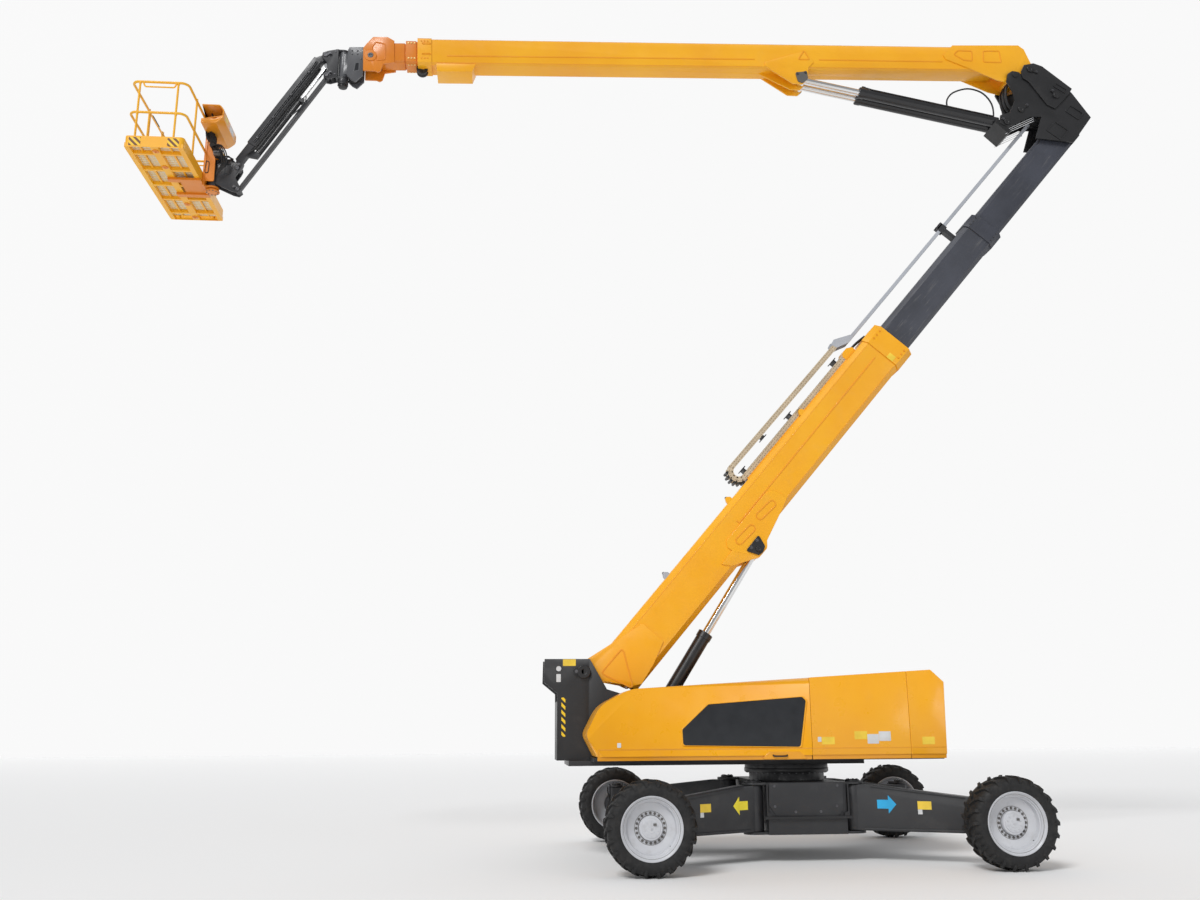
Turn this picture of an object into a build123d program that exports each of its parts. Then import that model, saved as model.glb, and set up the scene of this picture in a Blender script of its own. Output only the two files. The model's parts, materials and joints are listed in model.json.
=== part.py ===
from build123d import *
from math import atan2, cos, degrees, hypot, radians, sin
import os

os.makedirs("parts", exist_ok=True)

# Frame: millimetres, +Z up, origin on the ground under the slew axis. The boom points to -X.
# Every side view is drawn in the XZ plane; "front" is the -X end and "left" is the -Y side.

# ---------------------------------------------------------------- clearances
fit = 0.3            # a pin in its bore, or a piece seated on another
slide = 0.5          # wear pads on a telescoping section
run = 6.0            # free gap between pieces that move past each other

# ---------------------------------------------------------------- wheels and axles
wheel_base = 4622.0
track = 4500.0
tyre_radius = 577.5
tyre_width = 445.0
tyre_shoulder = 40.0
tyre_slope = 70.0
lug_height = 30.0
lugs = 22            # on each half of a tyre
lug_taper = 0.2      # how far a lug's flanks lean in, as a share of its foot
rim_radius = 388.0
rim_wall = 12.0
rim_dish = 95.0
rim_web = 18.0
rim_well = 28.0
hub_face = 35.0
hub_radius = 165.0
kingpin_offset = 470.0
kingpin_radius = 50.0
arm_pivot_x = 700.0
arm_pivot_y = 900.0
arm_low = 400.0
arm_root_top = 1000.0
arm_tip_top = 860.0
arm_half_width = 108.0
arm_eye_radius = 132.0
pivot_pin_radius = 62.0
ear_thickness = 32.0
ear_radius = 150.0

# ---------------------------------------------------------------- chassis and turntable
chassis_half_x = 545.0
chassis_half_y = 1100.0
side_plate = 18.0
slew_radius = 600.0
slew_bore = 430.0
slew_height = 120.0
tie_down_x = 615.0
tie_down_y = 600.0
tie_down_z = 490.0
tie_down_bore = 26.0
tie_down_eye = 56.0
tie_down_plate = 30.0
deck_low = 1265.0
deck_block = 70.0
deck_plate = 50.0
deck_half_width = 1200.0
deck_front = -3220.0
deck_rear = 1930.0
hood_low = 1400.0
hood_nose_rise = 330.0
hood_nose_steps = 4
hood_half_width = 1245.0
hood_front = -3030.0
hood_crest_x = -2420.0
hood_crest_z = 2290.0
hood_seam_front = 70.0
hood_seam_rear = 1460.0
hood_rear = 1990.0
hood_rear_top = 2540.0
hood_wall = 20.0
hood_hinge_radius = 9.0
hood_hinge_y = 388.0
trough = 400.0
cheek_inner = 300.0
cheek_thickness = 40.0

# ---------------------------------------------------------------- tower boom
foot_x = -2990.0
foot_z = 2567.0
tower_angle = 49.5
tower_drop = 412.0
tower_pin_radius = 60.0
tower_start = 300.0
tower_end = 7260.0
tower_wall = 10.0
tower_base_size = (500.0, 710.0, 80.0)
tower_mid_size = (420.0, 560.0, 70.0)
tower_fly_size = (360.0, 500.0, 50.0)
mid_start = 6000.0
mid_end = 9980.0
mid_collar = 280.0
fly_start = 8700.0
fly_end = 12480.0
lift_pin_s = 3104.0
lift_pin_drop = 73.0
lift_foot_x = -2140.0
lift_foot_z = 1570.0
lift_barrel_radius = 105.0
lift_rod_radius = 62.0
lift_pin_radius = 40.0
lift_head_at = 1870.0
lift_rod_end = 1230.0
lift_bore_start = 150.0
lift_slot = 130.0
lift_pocket = 42.0
lift_slot_ends = (-2500.0, -1540.0)
chain_seat = 22.0
chain_height = 86.0
chain_width = 220.0
chain_bend = 125.0
chain_bend_s = 3905.0
chain_sag = 26.0
chain_ends = (6620.0, 6580.0)

# ---------------------------------------------------------------- elbow and main boom
boom_pin_x = 4550.0
boom_pin_z = 12710.0
boom_tilt = 2.0
boom_pin_radius = 48.0
boom_low = 118.0
boom_width = 360.0
boom_depth = 480.0
boom_corner = 30.0
boom_wall = 8.0
boom_start = 300.0
boom_end = 10256.0
stage_one_size = (300.0, 410.0, 25.0)
stage_two_size = (250.0, 350.0, 20.0)
stage_one_end = 10450.0
stage_two_end = 10660.0
stage_back = 900.0
luff_pin_u = 3760.0
luff_pin_v = -57.0
luff_foot_x = 4312.0
luff_foot_z = 11839.0
luff_spread = 98.0
luff_barrel_radius = 88.0
luff_rod_radius = 55.0
luff_pin_radius = 34.0
luff_head_at = 2560.0
luff_rod_end = 950.0
luff_bore_start = 200.0
elbow_inner = 215.0
elbow_plate = 30.0

# ---------------------------------------------------------------- jib and basket
level_x = -6480.0
level_z = 12600.0
level_pin_radius = 40.0
swing_x = -6930.0
jib_pin_x = -7220.0
jib_pin_z = 12620.0
link_pin_x = -7190.0
link_pin_z = 12250.0
jib_angle = 238.7
jib_length = 2472.0
jib_width = 150.0
jib_depth = 150.0
jib_pin_radius = 28.0
rotator_x = -8880.0
rotator_low = 10190.0
rotator_top = 10640.0
rotator_radius = 85.0
basket_right = -9010.0
basket_length = 860.0
basket_half_width = 1220.0
basket_low = 10195.0
basket_floor_z = 10262.0
basket_mid_rail_z = 10780.0
basket_top_rail_z = 11291.0
basket_toe = 180.0
tube_radius = 19.0
post_radius = 16.0
grab_radius = 12.0
grab_drop = 80.0
grab_ends = (180.0, 215.0)     # from the basket's end, at its top and at its bottom
floor_inset = 42.0

corners = [  # name, way along X, way along Y
    ("front_left", -1, -1),
    ("front_right", -1, 1),
    ("rear_left", 1, -1),
    ("rear_right", 1, 1),
]


# ---------------------------------------------------------------- shared helpers
def side_frame(x, z, angle, facing=-1):
    """A plane in the side view whose local x runs along the angle; facing is the Y way of its normal."""
    a = radians(angle)
    return Plane(origin=(x, 0, z), x_dir=(cos(a), 0, sin(a)), z_dir=(0, facing, 0))


def across(frame, s, t=0):
    """The plane square to a side frame's local x at s, t, looking along the frame."""
    return Plane(origin=frame.from_local_coords((s, t, 0)), x_dir=-frame.z_dir, z_dir=frame.x_dir)


def put(sketch, amount, mode=Mode.ADD):
    extrude(sketch.sketch, amount=amount, mode=mode)


def sheet_plane(frame, y_low, y_high):
    return frame.offset(min(frame.z_dir.Y * y_low, frame.z_dir.Y * y_high))


def plate(frame, y_low, y_high, outline, mode=Mode.ADD):
    """A flat plate drawn in the side view between two Y places."""
    with BuildSketch(sheet_plane(frame, y_low, y_high)) as sheet:
        with BuildLine():
            Polyline(*outline, close=True)
        make_face()
    put(sheet, abs(y_high - y_low), mode)


def disc(frame, y_low, y_high, centre, radius, mode=Mode.ADD):
    """A round bar across the machine, seen as a circle in the side view."""
    with BuildSketch(sheet_plane(frame, y_low, y_high)) as sheet:
        with Locations(centre):
            Circle(radius)
    put(sheet, abs(y_high - y_low), mode)


def pair(shape, frame, inner, outer, *rest, mode=Mode.ADD):
    """The same plate or disc on both sides of the machine's middle plane."""
    shape(frame, inner, outer, *rest, mode=mode)
    shape(frame, -outer, -inner, *rest, mode=mode)


def section(frame, start, end, centre, size, mode=Mode.ADD):
    """A solid bar along a side frame: size is its width, depth and corner chamfer."""
    width, depth, corner = size
    with BuildSketch(across(frame, start, centre)) as face:
        Rectangle(width, depth)
        if corner:
            chamfer(face.vertices(), corner)
    put(face, end - start, mode)


def grown(size, by):
    """A section size grown on every side, its corners kept parallel."""
    width, depth, corner = size
    return (width + 2 * by, depth + 2 * by, max(corner + by * 0.6, 0.0))


def mouth(frame, end, centre, size, inner_size, wall):
    """The wear pads inside a tube's mouth, one collar that carries the next section."""
    section(frame, end - 160, end, centre, grown(size, 1 - wall))
    section(frame, end - 161, end + 1, centre, grown(inner_size, slide), mode=Mode.SUBTRACT)


def bar(frame, start, end, radius, t=0, y=0, mode=Mode.ADD):
    """A round bar along a side frame's local x."""
    plane = across(frame, start, t)
    with BuildSketch(plane) as face:
        with Locations((-y * frame.z_dir.Y, 0)):
            Circle(radius)
    put(face, end - start, mode)


def tube(points, radius, bend):
    """A bent round tube through points."""
    with BuildLine() as path:
        FilletPolyline(*points, radius=bend)
    with BuildSketch(Plane(origin=path.line @ 0, z_dir=path.line % 0)) as face:
        Circle(radius)
    sweep(face.sketch, path=path.line)


def block(low, high, mode=Mode.ADD):
    """A box between two corners."""
    size = [b - a for a, b in zip(low, high)]
    with Locations(tuple((a + b) / 2 for a, b in zip(low, high))):
        Box(*size, mode=mode)


def column(x, y, low, high, radius, mode=Mode.ADD):
    """An upright round bar."""
    with Locations((x, y, (low + high) / 2)):
        Cylinder(radius, high - low, mode=mode)


def save(part, name):
    part.part.label = name
    export_step(part.part, f"parts/{name}.step")


side = side_frame(0, 0, 0)
tower = side_frame(foot_x, foot_z, tower_angle)
boom = side_frame(boom_pin_x, boom_pin_z, 180 + boom_tilt, facing=1)
jib = side_frame(jib_pin_x, jib_pin_z, jib_angle, facing=1)
link = side_frame(link_pin_x, link_pin_z, jib_angle, facing=1)


def aimed(x, z, to_x, to_z, facing=-1):
    """A side frame at one pin that looks at another, and the distance between them."""
    angle = degrees(atan2(to_z - z, to_x - x))
    return side_frame(x, z, angle, facing), hypot(to_x - x, to_z - z)


def world(frame, s, t):
    point = frame.from_local_coords((s, t, 0))
    return point.X, point.Z


# ---------------------------------------------------------------- chassis
hub_z = tyre_radius
ear_top = arm_root_top + run
ear_low = arm_low - run

side_plate_outline = [
    (-526, ear_top + 25), (505, ear_top + 25), (483, ear_low + 280), (361, ear_low + 150),
    (-397, ear_low + 150), (-539, ear_low + 360),
]

with BuildPart() as chassis_frame:
    block((-chassis_half_x, -chassis_half_y, ear_low), (chassis_half_x, chassis_half_y, ear_top))
    for low in (ear_low - ear_thickness, ear_top):
        block((-chassis_half_x, -chassis_half_y, low), (chassis_half_x, chassis_half_y, low + ear_thickness))
        for way_x in (-1, 1):
            for way_y in (-1, 1):
                column(way_x * arm_pivot_x, way_y * arm_pivot_y, low, low + ear_thickness, ear_radius)
                with Locations((way_x * (arm_pivot_x + chassis_half_x) / 2, way_y * arm_pivot_y,
                                low + ear_thickness / 2)):
                    Box(arm_pivot_x - chassis_half_x + 60, 2 * ear_radius, ear_thickness)
    for way_x in (-1, 1):
        for way_y in (-1, 1):
            column(way_x * arm_pivot_x, way_y * arm_pivot_y, ear_low - ear_thickness, ear_top + ear_thickness,
                   pivot_pin_radius)
    for way_x in (-1, 1):
        for way_y in (-1, 1):
            x, y = way_x * tie_down_x, way_y * tie_down_y
            column(x, y, tie_down_z - tie_down_plate / 2, tie_down_z + tie_down_plate / 2, tie_down_eye)
            with Locations(((x + way_x * (chassis_half_x - 5)) / 2, y, tie_down_z)):
                Box(tie_down_x - chassis_half_x + 5, 2 * tie_down_eye, tie_down_plate)
            column(x, y, tie_down_z - tie_down_plate, tie_down_z + tie_down_plate, tie_down_bore,
                   mode=Mode.SUBTRACT)
    column(0, 0, ear_top, deck_low - slew_height, slew_radius - 60)
    column(0, 0, deck_low - slew_height, deck_low - fit, slew_radius)
    column(0, 0, deck_low - slew_height, deck_low - fit, slew_bore, mode=Mode.SUBTRACT)
    pair(plate, side, chassis_half_y - 5, chassis_half_y + side_plate, side_plate_outline)
save(chassis_frame, "chassis_frame")

# ---------------------------------------------------------------- axle arms, knuckles and wheels
kingpin_x = wheel_base / 2
kingpin_y = track / 2 - kingpin_offset
knuckle_web = 170.0
web_thickness = 40.0
tip_flat = 330.0


def arm_frame(way_x, way_y):
    """An upright plane from the arm's pivot to its kingpin; local x outwards, local y up."""
    reach = Vector(way_x * (kingpin_x - arm_pivot_x), way_y * (kingpin_y - arm_pivot_y), 0)
    return Plane(origin=(way_x * arm_pivot_x, way_y * arm_pivot_y, 0), x_dir=reach,
                 z_dir=reach.cross(Vector(0, 0, 1))), reach.length


carcass_radius = tyre_radius - lug_height


def wheel_plane(centre, across_by):
    """A plane square to the axle; its normal looks along -Y."""
    x, y, z = centre
    return Plane(origin=(x, y + across_by, z), x_dir=(1, 0, 0), z_dir=(0, -1, 0))


def lugged_outline(hand):
    """One half of the tread seen along the axle: a lug on every other flat, its tip flat on the ground."""
    step = 180 / lugs
    tip_radius = tyre_radius / cos(radians(step * (0.5 - lug_taper)))
    points = []
    for k in range(lugs):
        start = 270 - step / 2 + step * (2 * k + hand)
        for share, radius in ((0, carcass_radius), (lug_taper, tip_radius), (1 - lug_taper, tip_radius),
                              (1, carcass_radius)):
            turn = radians(start + step * share)
            points.append((radius * cos(turn), radius * sin(turn)))
    return points


for name, way_x, way_y in corners:
    frame, length = arm_frame(way_x, way_y)
    with BuildPart() as axle_arm:
        with BuildSketch(frame.offset(-arm_half_width)) as face:
            with BuildLine():
                Polyline((0, arm_low), (0, arm_root_top), (260, arm_root_top),
                         (length - tip_flat, arm_tip_top), (length, arm_tip_top), (length, arm_low), close=True)
            make_face()
        put(face, 2 * arm_half_width)
        column(way_x * arm_pivot_x, way_y * arm_pivot_y, arm_low, arm_root_top, arm_eye_radius)
        column(way_x * kingpin_x, way_y * kingpin_y, arm_low, arm_tip_top, arm_half_width)
        column(way_x * arm_pivot_x, way_y * arm_pivot_y, arm_low, arm_root_top, pivot_pin_radius + fit,
               mode=Mode.SUBTRACT)
        column(way_x * kingpin_x, way_y * kingpin_y, arm_low, arm_tip_top, kingpin_radius + fit,
               mode=Mode.SUBTRACT)
    save(axle_arm, f"axle_arm_{name}")

    with BuildPart() as knuckle:
        for low in (arm_low - run - ear_thickness, arm_tip_top + run):
            column(way_x * kingpin_x, way_y * kingpin_y, low, low + ear_thickness, arm_half_width)
            with Locations((way_x * kingpin_x, way_y * (kingpin_y + knuckle_web / 2), low + ear_thickness / 2)):
                Box(2 * arm_half_width, knuckle_web, ear_thickness)
        column(way_x * kingpin_x, way_y * kingpin_y, arm_low - run - ear_thickness,
               arm_tip_top + run + ear_thickness, kingpin_radius)
        with Locations((way_x * kingpin_x, way_y * (kingpin_y + knuckle_web + web_thickness / 2),
                        (arm_low + arm_tip_top) / 2)):
            Box(2 * arm_half_width, web_thickness, arm_tip_top - arm_low + 2 * run + 2 * ear_thickness)
        hub_start = kingpin_y + knuckle_web + web_thickness
        hub_end = track / 2 + hub_face
        disc(side_frame(way_x * kingpin_x, hub_z, 0), *sorted((way_y * hub_start, way_y * hub_end)), (0, 0),
             hub_radius)
    save(knuckle, f"knuckle_{name}")

    axle = Axis((way_x * kingpin_x, 0, hub_z), (0, 1, 0))
    half = tyre_width / 2
    profile_plane = Plane(origin=(way_x * kingpin_x, way_y * track / 2, hub_z), x_dir=(1, 0, 0),
                          z_dir=(0, 0, way_y))
    with BuildPart() as rim:
        with BuildSketch(profile_plane) as face:
            with BuildLine():
                Polyline((rim_radius, -half + 10), (rim_radius, -half + 30), (rim_radius - rim_well, -half + 50),
                         (rim_radius - rim_well, half - 50), (rim_radius, half - 30), (rim_radius, half - 10),
                         (rim_radius - rim_wall, half - 10), (rim_radius - rim_wall - rim_well, half - 56),
                         (rim_radius - rim_wall - rim_well, -half + 56), (rim_radius - rim_wall, -half + 10),
                         close=True)
            make_face()
            with BuildLine():
                Polyline((0, hub_face + fit), (rim_radius - 110, hub_face + fit),
                         (rim_radius - rim_well - 6, rim_dish - rim_web), (rim_radius - rim_well - 6, rim_dish),
                         (rim_radius - 120, hub_face + rim_web), (0, hub_face + rim_web), close=True)
            make_face()
        revolve(face.sketch, axis=axle)
        cap_start = track / 2 + hub_face + rim_web
        disc(side_frame(way_x * kingpin_x, hub_z, 0),
             *sorted((way_y * (cap_start - 1), way_y * (cap_start + 50))), (0, 0), 135)
    save(rim, f"rim_{name}")

    with BuildPart() as tyre:
        centre = (way_x * kingpin_x, way_y * track / 2, hub_z)
        tread_half = half - tyre_shoulder
        for start, hand in ((-tread_half, 0), (0, 1)):
            with BuildSketch(wheel_plane(centre, start)) as face:
                with BuildLine():
                    Polyline(*lugged_outline(hand), close=True)
                make_face()
            put(face, -tread_half)
        for way in (-1, 1):
            with BuildSketch(wheel_plane(centre, way * tread_half)) as foot:
                RegularPolygon(carcass_radius, 2 * lugs)
            with BuildSketch(wheel_plane(centre, way * half)) as end:
                RegularPolygon(carcass_radius - tyre_slope, 2 * lugs)
            loft(sections=[foot.sketch, end.sketch], ruled=True)
        with BuildSketch(wheel_plane(centre, -half - 1)) as hole:
            RegularPolygon(rim_radius + fit, 2 * lugs, major_radius=False)
        put(hole, -tyre_width - 2, Mode.SUBTRACT)
    save(tyre, f"tyre_{name}")

# ---------------------------------------------------------------- turntable
cheek_front = deck_front - 154
cheek_outline = [
    (-3555, 2750), (-2900, 2750), (-2655, 2320), (-2200, 2180), (-1800, 1980), (-1620, deck_low + 120),
    (cheek_front, deck_low + 120), (cheek_front, 2269), (-3563, 2424),
]
tower_under = -tower_drop - tower_base_size[1] / 2
lift_pin_t = tower_under - lift_pin_drop
lift_frame, lift_length = aimed(lift_foot_x, lift_foot_z, *world(tower, lift_pin_s, lift_pin_t))
deck_top = deck_low + deck_block + deck_plate
hood_pitch = degrees(atan2(hood_rear_top - hood_crest_z, hood_rear - 180 - hood_crest_x))
hinge_line = side_frame(hood_crest_x, hood_crest_z - 22, hood_pitch)
hinge_ends = (40.0, 2420.0)
hinge_barrel = 90.0
hinge_barrels = (200.0, 1150.0, 2150.0)
hood_wall_outline = [
    (hood_front + 230, deck_top - 1), (hood_front + 100, hood_low + 290),
    world(hinge_line, hinge_ends[0] - 20, 0), world(hinge_line, hinge_ends[1] + 20, 0),
    (world(hinge_line, hinge_ends[1] + 20, 0)[0], deck_top - 1),
]

with BuildPart() as turntable_frame:
    block((deck_front, -560, deck_low), (1000, 560, deck_low + deck_block))
    block((deck_front + 300, -deck_half_width, deck_low + deck_block), (deck_rear, deck_half_width, deck_top))
    block((cheek_front, -cheek_inner - cheek_thickness, deck_low + deck_block),
          (deck_front + 300, cheek_inner + cheek_thickness, deck_top))
    pair(plate, side, cheek_inner, cheek_inner + cheek_thickness, cheek_outline)
    pair(disc, side, cheek_inner - 30, cheek_inner, (foot_x, foot_z), 110)
    disc(side, -cheek_inner - cheek_thickness - 25, cheek_inner + cheek_thickness + 25, (foot_x, foot_z),
         tower_pin_radius)
    block((cheek_front, -cheek_inner, deck_top), (cheek_front + cheek_thickness, cheek_inner, 2150))
    block((lift_slot_ends[0], -lift_slot, deck_low), (lift_slot_ends[1], lift_slot, deck_top), mode=Mode.SUBTRACT)
    block((lift_foot_x - 160, -cheek_inner, deck_top - lift_pocket), (lift_foot_x + 100, cheek_inner, deck_top),
          mode=Mode.SUBTRACT)
    for way in (-1, 1):
        plate(side, *sorted((way * (hood_hinge_y - 8), way * (hood_hinge_y + 8))), hood_wall_outline)
        bar(hinge_line, hinge_ends[0], hinge_ends[1], hood_hinge_radius, y=way * hood_hinge_y)
        for start in hinge_barrels:
            bar(hinge_line, start - 6, start + hinge_barrel + 6, 24, y=way * hood_hinge_y, mode=Mode.SUBTRACT)
            bar(hinge_line, start - 6, start + hinge_barrel + 6, hood_hinge_radius, y=way * hood_hinge_y)
save(turntable_frame, "turntable_frame")


def hood_profile(x_low, x_high, inset=0.0):
    """The hood's side outline between two places along the machine, drawn inset from its skin."""
    def roof(x):
        rise = (hood_rear_top - hood_crest_z) / (hood_rear - 180 - hood_crest_x)
        return hood_crest_z + rise * (x - hood_crest_x) - inset

    points = [(x_low + inset, hood_low + inset)]
    if x_low <= hood_front:
        points = [(hood_front + 150 + inset, hood_low + inset)]
        nose_low = hood_low + hood_nose_rise
        for k in range(hood_nose_steps + 1):
            turn = radians(90 * k / hood_nose_steps)
            points.append((hood_crest_x - (hood_crest_x - hood_front - inset) * cos(turn),
                           nose_low + (hood_crest_z - inset - nose_low) * sin(turn)))
    else:
        points.append((x_low + inset, roof(x_low + inset)))
    if x_high >= hood_rear:
        points += [(hood_rear - 180 - inset, roof(hood_rear - 180 - inset)),
                   (hood_rear - inset, hood_rear_top - 170), (hood_rear - 30 - inset, hood_low + inset)]
    else:
        points += [(x_high - inset, roof(x_high - inset)), (x_high - inset, hood_low + inset)]
    return points


def hood_shell(x_low, x_high, way, wall, open_inside=0.0):
    """One side's hollow cover, open at its bottom and, for a hinged cover, on its trough side."""
    inner_y = trough + (fit if open_inside else 0)
    plate(side, *sorted((way * inner_y, way * hood_half_width)), hood_profile(x_low, x_high))
    inner = [(x, z - wall - 1 if abs(z - hood_low - wall) < 1e-6 else z)
             for x, z in hood_profile(x_low, x_high, wall)]
    plate(side, *sorted((way * (inner_y + wall - open_inside), way * (hood_half_width - wall))), inner,
          mode=Mode.SUBTRACT)


for name, way in (("left", -1), ("right", 1)):
    with BuildPart() as cover:
        hood_shell(hood_front, hood_seam_front - 3, way, hood_wall, open_inside=hood_wall + 5)
        for start in hinge_barrels:
            bar(hinge_line, start, start + hinge_barrel, 17, y=way * hood_hinge_y)
            bar(hinge_line, start, start + hinge_barrel, hood_hinge_radius + fit, y=way * hood_hinge_y,
                mode=Mode.SUBTRACT)
    save(cover, f"hood_cover_{name}")

with BuildPart() as hood_centre:
    for way in (-1, 1):
        hood_shell(hood_seam_front + 3, hood_seam_rear - 3, way, hood_wall)
        block((hood_seam_front + 3, way * trough if way > 0 else -trough - hood_wall, deck_top),
              (hood_seam_rear - 3, trough + hood_wall if way > 0 else -trough, hood_low + 40))
save(hood_centre, "hood_centre")

with BuildPart() as counterweight:
    for way in (-1, 1):
        plate(side, *sorted((way * trough, way * hood_half_width)), hood_profile(hood_seam_rear, hood_rear))
        block((hood_seam_rear + 20, -trough, deck_top) if way < 0 else (hood_seam_rear + 20, 0, deck_top),
              (hood_rear - 80, 0, 1700) if way < 0 else (hood_rear - 80, trough, 1700))
        block((hood_seam_rear + 20, way * trough if way > 0 else -deck_half_width + 60, deck_top),
              (deck_rear - 60, deck_half_width - 60 if way > 0 else -trough, hood_low + 5))
save(counterweight, "counterweight")

with BuildPart() as engine:
    block((-1150, 520, deck_top), (-50, 1120, deck_top + 700))
save(engine, "engine")

# ---------------------------------------------------------------- tower boom
tower_mid_t = -tower_drop
chain_t = tower_mid_t + tower_base_size[1] / 2
foot_outline = [
    (-115, -60), (-60, 105), (110, 100), (820, -tower_drop + tower_base_size[1] / 2 - 70),
    (1100, -tower_drop + 200), (1100, -tower_drop - 200), (760, -tower_drop - tower_base_size[1] / 2 + 60),
    (420, -tower_drop - tower_base_size[1] / 2 + 10), (300, -tower_drop - 250), (-20, -110),
]
half_tower = tower_base_size[0] / 2
bracket_outline = [
    (2560, tower_under + 207), (2640, tower_under + 77), (3020, tower_under - 163), (3200, tower_under - 168),
    (3300, tower_under - 93), (3860, tower_under + 32), (3860, tower_under + 267),
]
web_outline = [
    (2900, tower_under + 12), (3020, tower_under - 163), (3200, tower_under - 168), (3300, tower_under - 93),
    (3400, tower_under + 12),
]

with BuildPart() as tower_base:
    section(tower, tower_start, tower_end, tower_mid_t, tower_base_size)
    section(tower, tower_end - 360, tower_end, tower_mid_t, grown(tower_base_size, 22))
    section(tower, tower_start + 300, tower_end, tower_mid_t, grown(tower_base_size, -tower_wall),
            mode=Mode.SUBTRACT)
    pair(plate, tower, half_tower - 30, half_tower + 15, foot_outline)
    disc(tower, -cheek_inner + 30 + run, cheek_inner - 30 - run, (0, 0), 112)
    disc(tower, -cheek_inner, cheek_inner, (0, 0), tower_pin_radius + fit, mode=Mode.SUBTRACT)
    pair(plate, tower, half_tower, half_tower + 15, bracket_outline)
    pair(plate, tower, 90, half_tower, web_outline)
    section(tower, lift_pin_s - 230, lift_pin_s + 120, tower_under + 20, (190, 60, 0), mode=Mode.SUBTRACT)
    disc(tower, -half_tower - 30, half_tower + 30, (lift_pin_s, lift_pin_t), lift_pin_radius)
    mouth(tower, tower_end, tower_mid_t, tower_base_size, tower_mid_size, tower_wall)
    plate(tower, -chain_width / 2, chain_width / 2, [
        (chain_bend_s, chain_t - 5), (chain_ends[0], chain_t - 5), (chain_ends[0], chain_t + chain_seat),
        (chain_bend_s, chain_t + chain_seat)])
save(tower_base, "tower_base")

with BuildPart() as lift_rod:
    rod_frame = side_frame(*world(tower, lift_pin_s, lift_pin_t), degrees(atan2(
        lift_foot_z - world(tower, lift_pin_s, lift_pin_t)[1],
        lift_foot_x - world(tower, lift_pin_s, lift_pin_t)[0])), facing=1)
    disc(rod_frame, -80, 80, (0, 0), 80)
    bar(rod_frame, 60, lift_length - lift_rod_end, lift_rod_radius)
    disc(rod_frame, -80, 80, (0, 0), lift_pin_radius + fit, mode=Mode.SUBTRACT)
save(lift_rod, "lift_rod")

with BuildPart() as lift_barrel:
    head = lift_head_at
    bar(lift_frame, 130, head, lift_barrel_radius)
    bar(lift_frame, head - 90, head, lift_barrel_radius + 10)
    disc(lift_frame, -95, 95, (0, 0), 100)
    bar(lift_frame, 0, 140, 90)
    bar(lift_frame, lift_bore_start, head, lift_rod_radius + fit, mode=Mode.SUBTRACT)
    disc(lift_frame, -cheek_inner + fit, cheek_inner - fit, (0, 0), 46)
save(lift_barrel, "lift_barrel")

with BuildPart() as energy_chain:
    inner_run = (chain_t + chain_seat + fit, chain_t + chain_seat + chain_height)
    outer_run = (inner_run[0] + 2 * chain_bend, inner_run[1] + 2 * chain_bend)
    bend_t = (inner_run[0] + outer_run[1]) / 2
    outer_bend = bend_t - inner_run[0]
    inner_bend = bend_t - inner_run[1]
    with BuildSketch(sheet_plane(tower, -chain_width / 2, chain_width / 2)) as face:
        with BuildLine():
            Polyline((chain_bend_s, inner_run[0]), (chain_ends[0], inner_run[0]), (chain_ends[0], inner_run[1]),
                     (chain_bend_s, inner_run[1]))
            ThreePointArc((chain_bend_s, inner_run[1]), (chain_bend_s - inner_bend, bend_t),
                          (chain_bend_s, outer_run[0]))
            Polyline((chain_bend_s, outer_run[0]), (chain_ends[1], outer_run[0] - chain_sag),
                     (chain_ends[1], outer_run[1] - chain_sag), (chain_bend_s, outer_run[1]))
            ThreePointArc((chain_bend_s, outer_run[1]), (chain_bend_s - outer_bend, bend_t),
                          (chain_bend_s, inner_run[0]))
        make_face()
    put(face, chain_width)
save(energy_chain, "energy_chain")

with BuildPart() as tower_mid:
    section(tower, mid_start, mid_end, tower_mid_t, tower_mid_size)
    section(tower, mid_end - mid_collar, mid_end, tower_mid_t, grown(tower_mid_size, 26))
    section(tower, mid_start, mid_end, tower_mid_t, grown(tower_mid_size, -tower_wall), mode=Mode.SUBTRACT)
    mouth(tower, mid_end, tower_mid_t, tower_mid_size, tower_fly_size, tower_wall)
save(tower_mid, "tower_mid")

# ---------------------------------------------------------------- elbow
elbow_arm = [
    (11690, 370), (11660, 520), (11790, 600), (11945, 510), (12184, 570), (12318, 707), (12410, 900),
    (12540, 965), (12640, 940), (12700, 850), (12700, 500), (12861, 60), (12400, -100), (12134, 185),
]
elbow_wrap = [
    (11855, -115), (12250, -655), (12861, -616), (13028, -73), (12861, 60), (12400, 100),
]
with BuildPart() as tower_fly:
    section(tower, fly_start, fly_end, tower_mid_t, tower_fly_size)
    section(tower, fly_start, fly_end - 500, tower_mid_t, grown(tower_fly_size, -tower_wall),
            mode=Mode.SUBTRACT)
save(tower_fly, "tower_fly")

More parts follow.
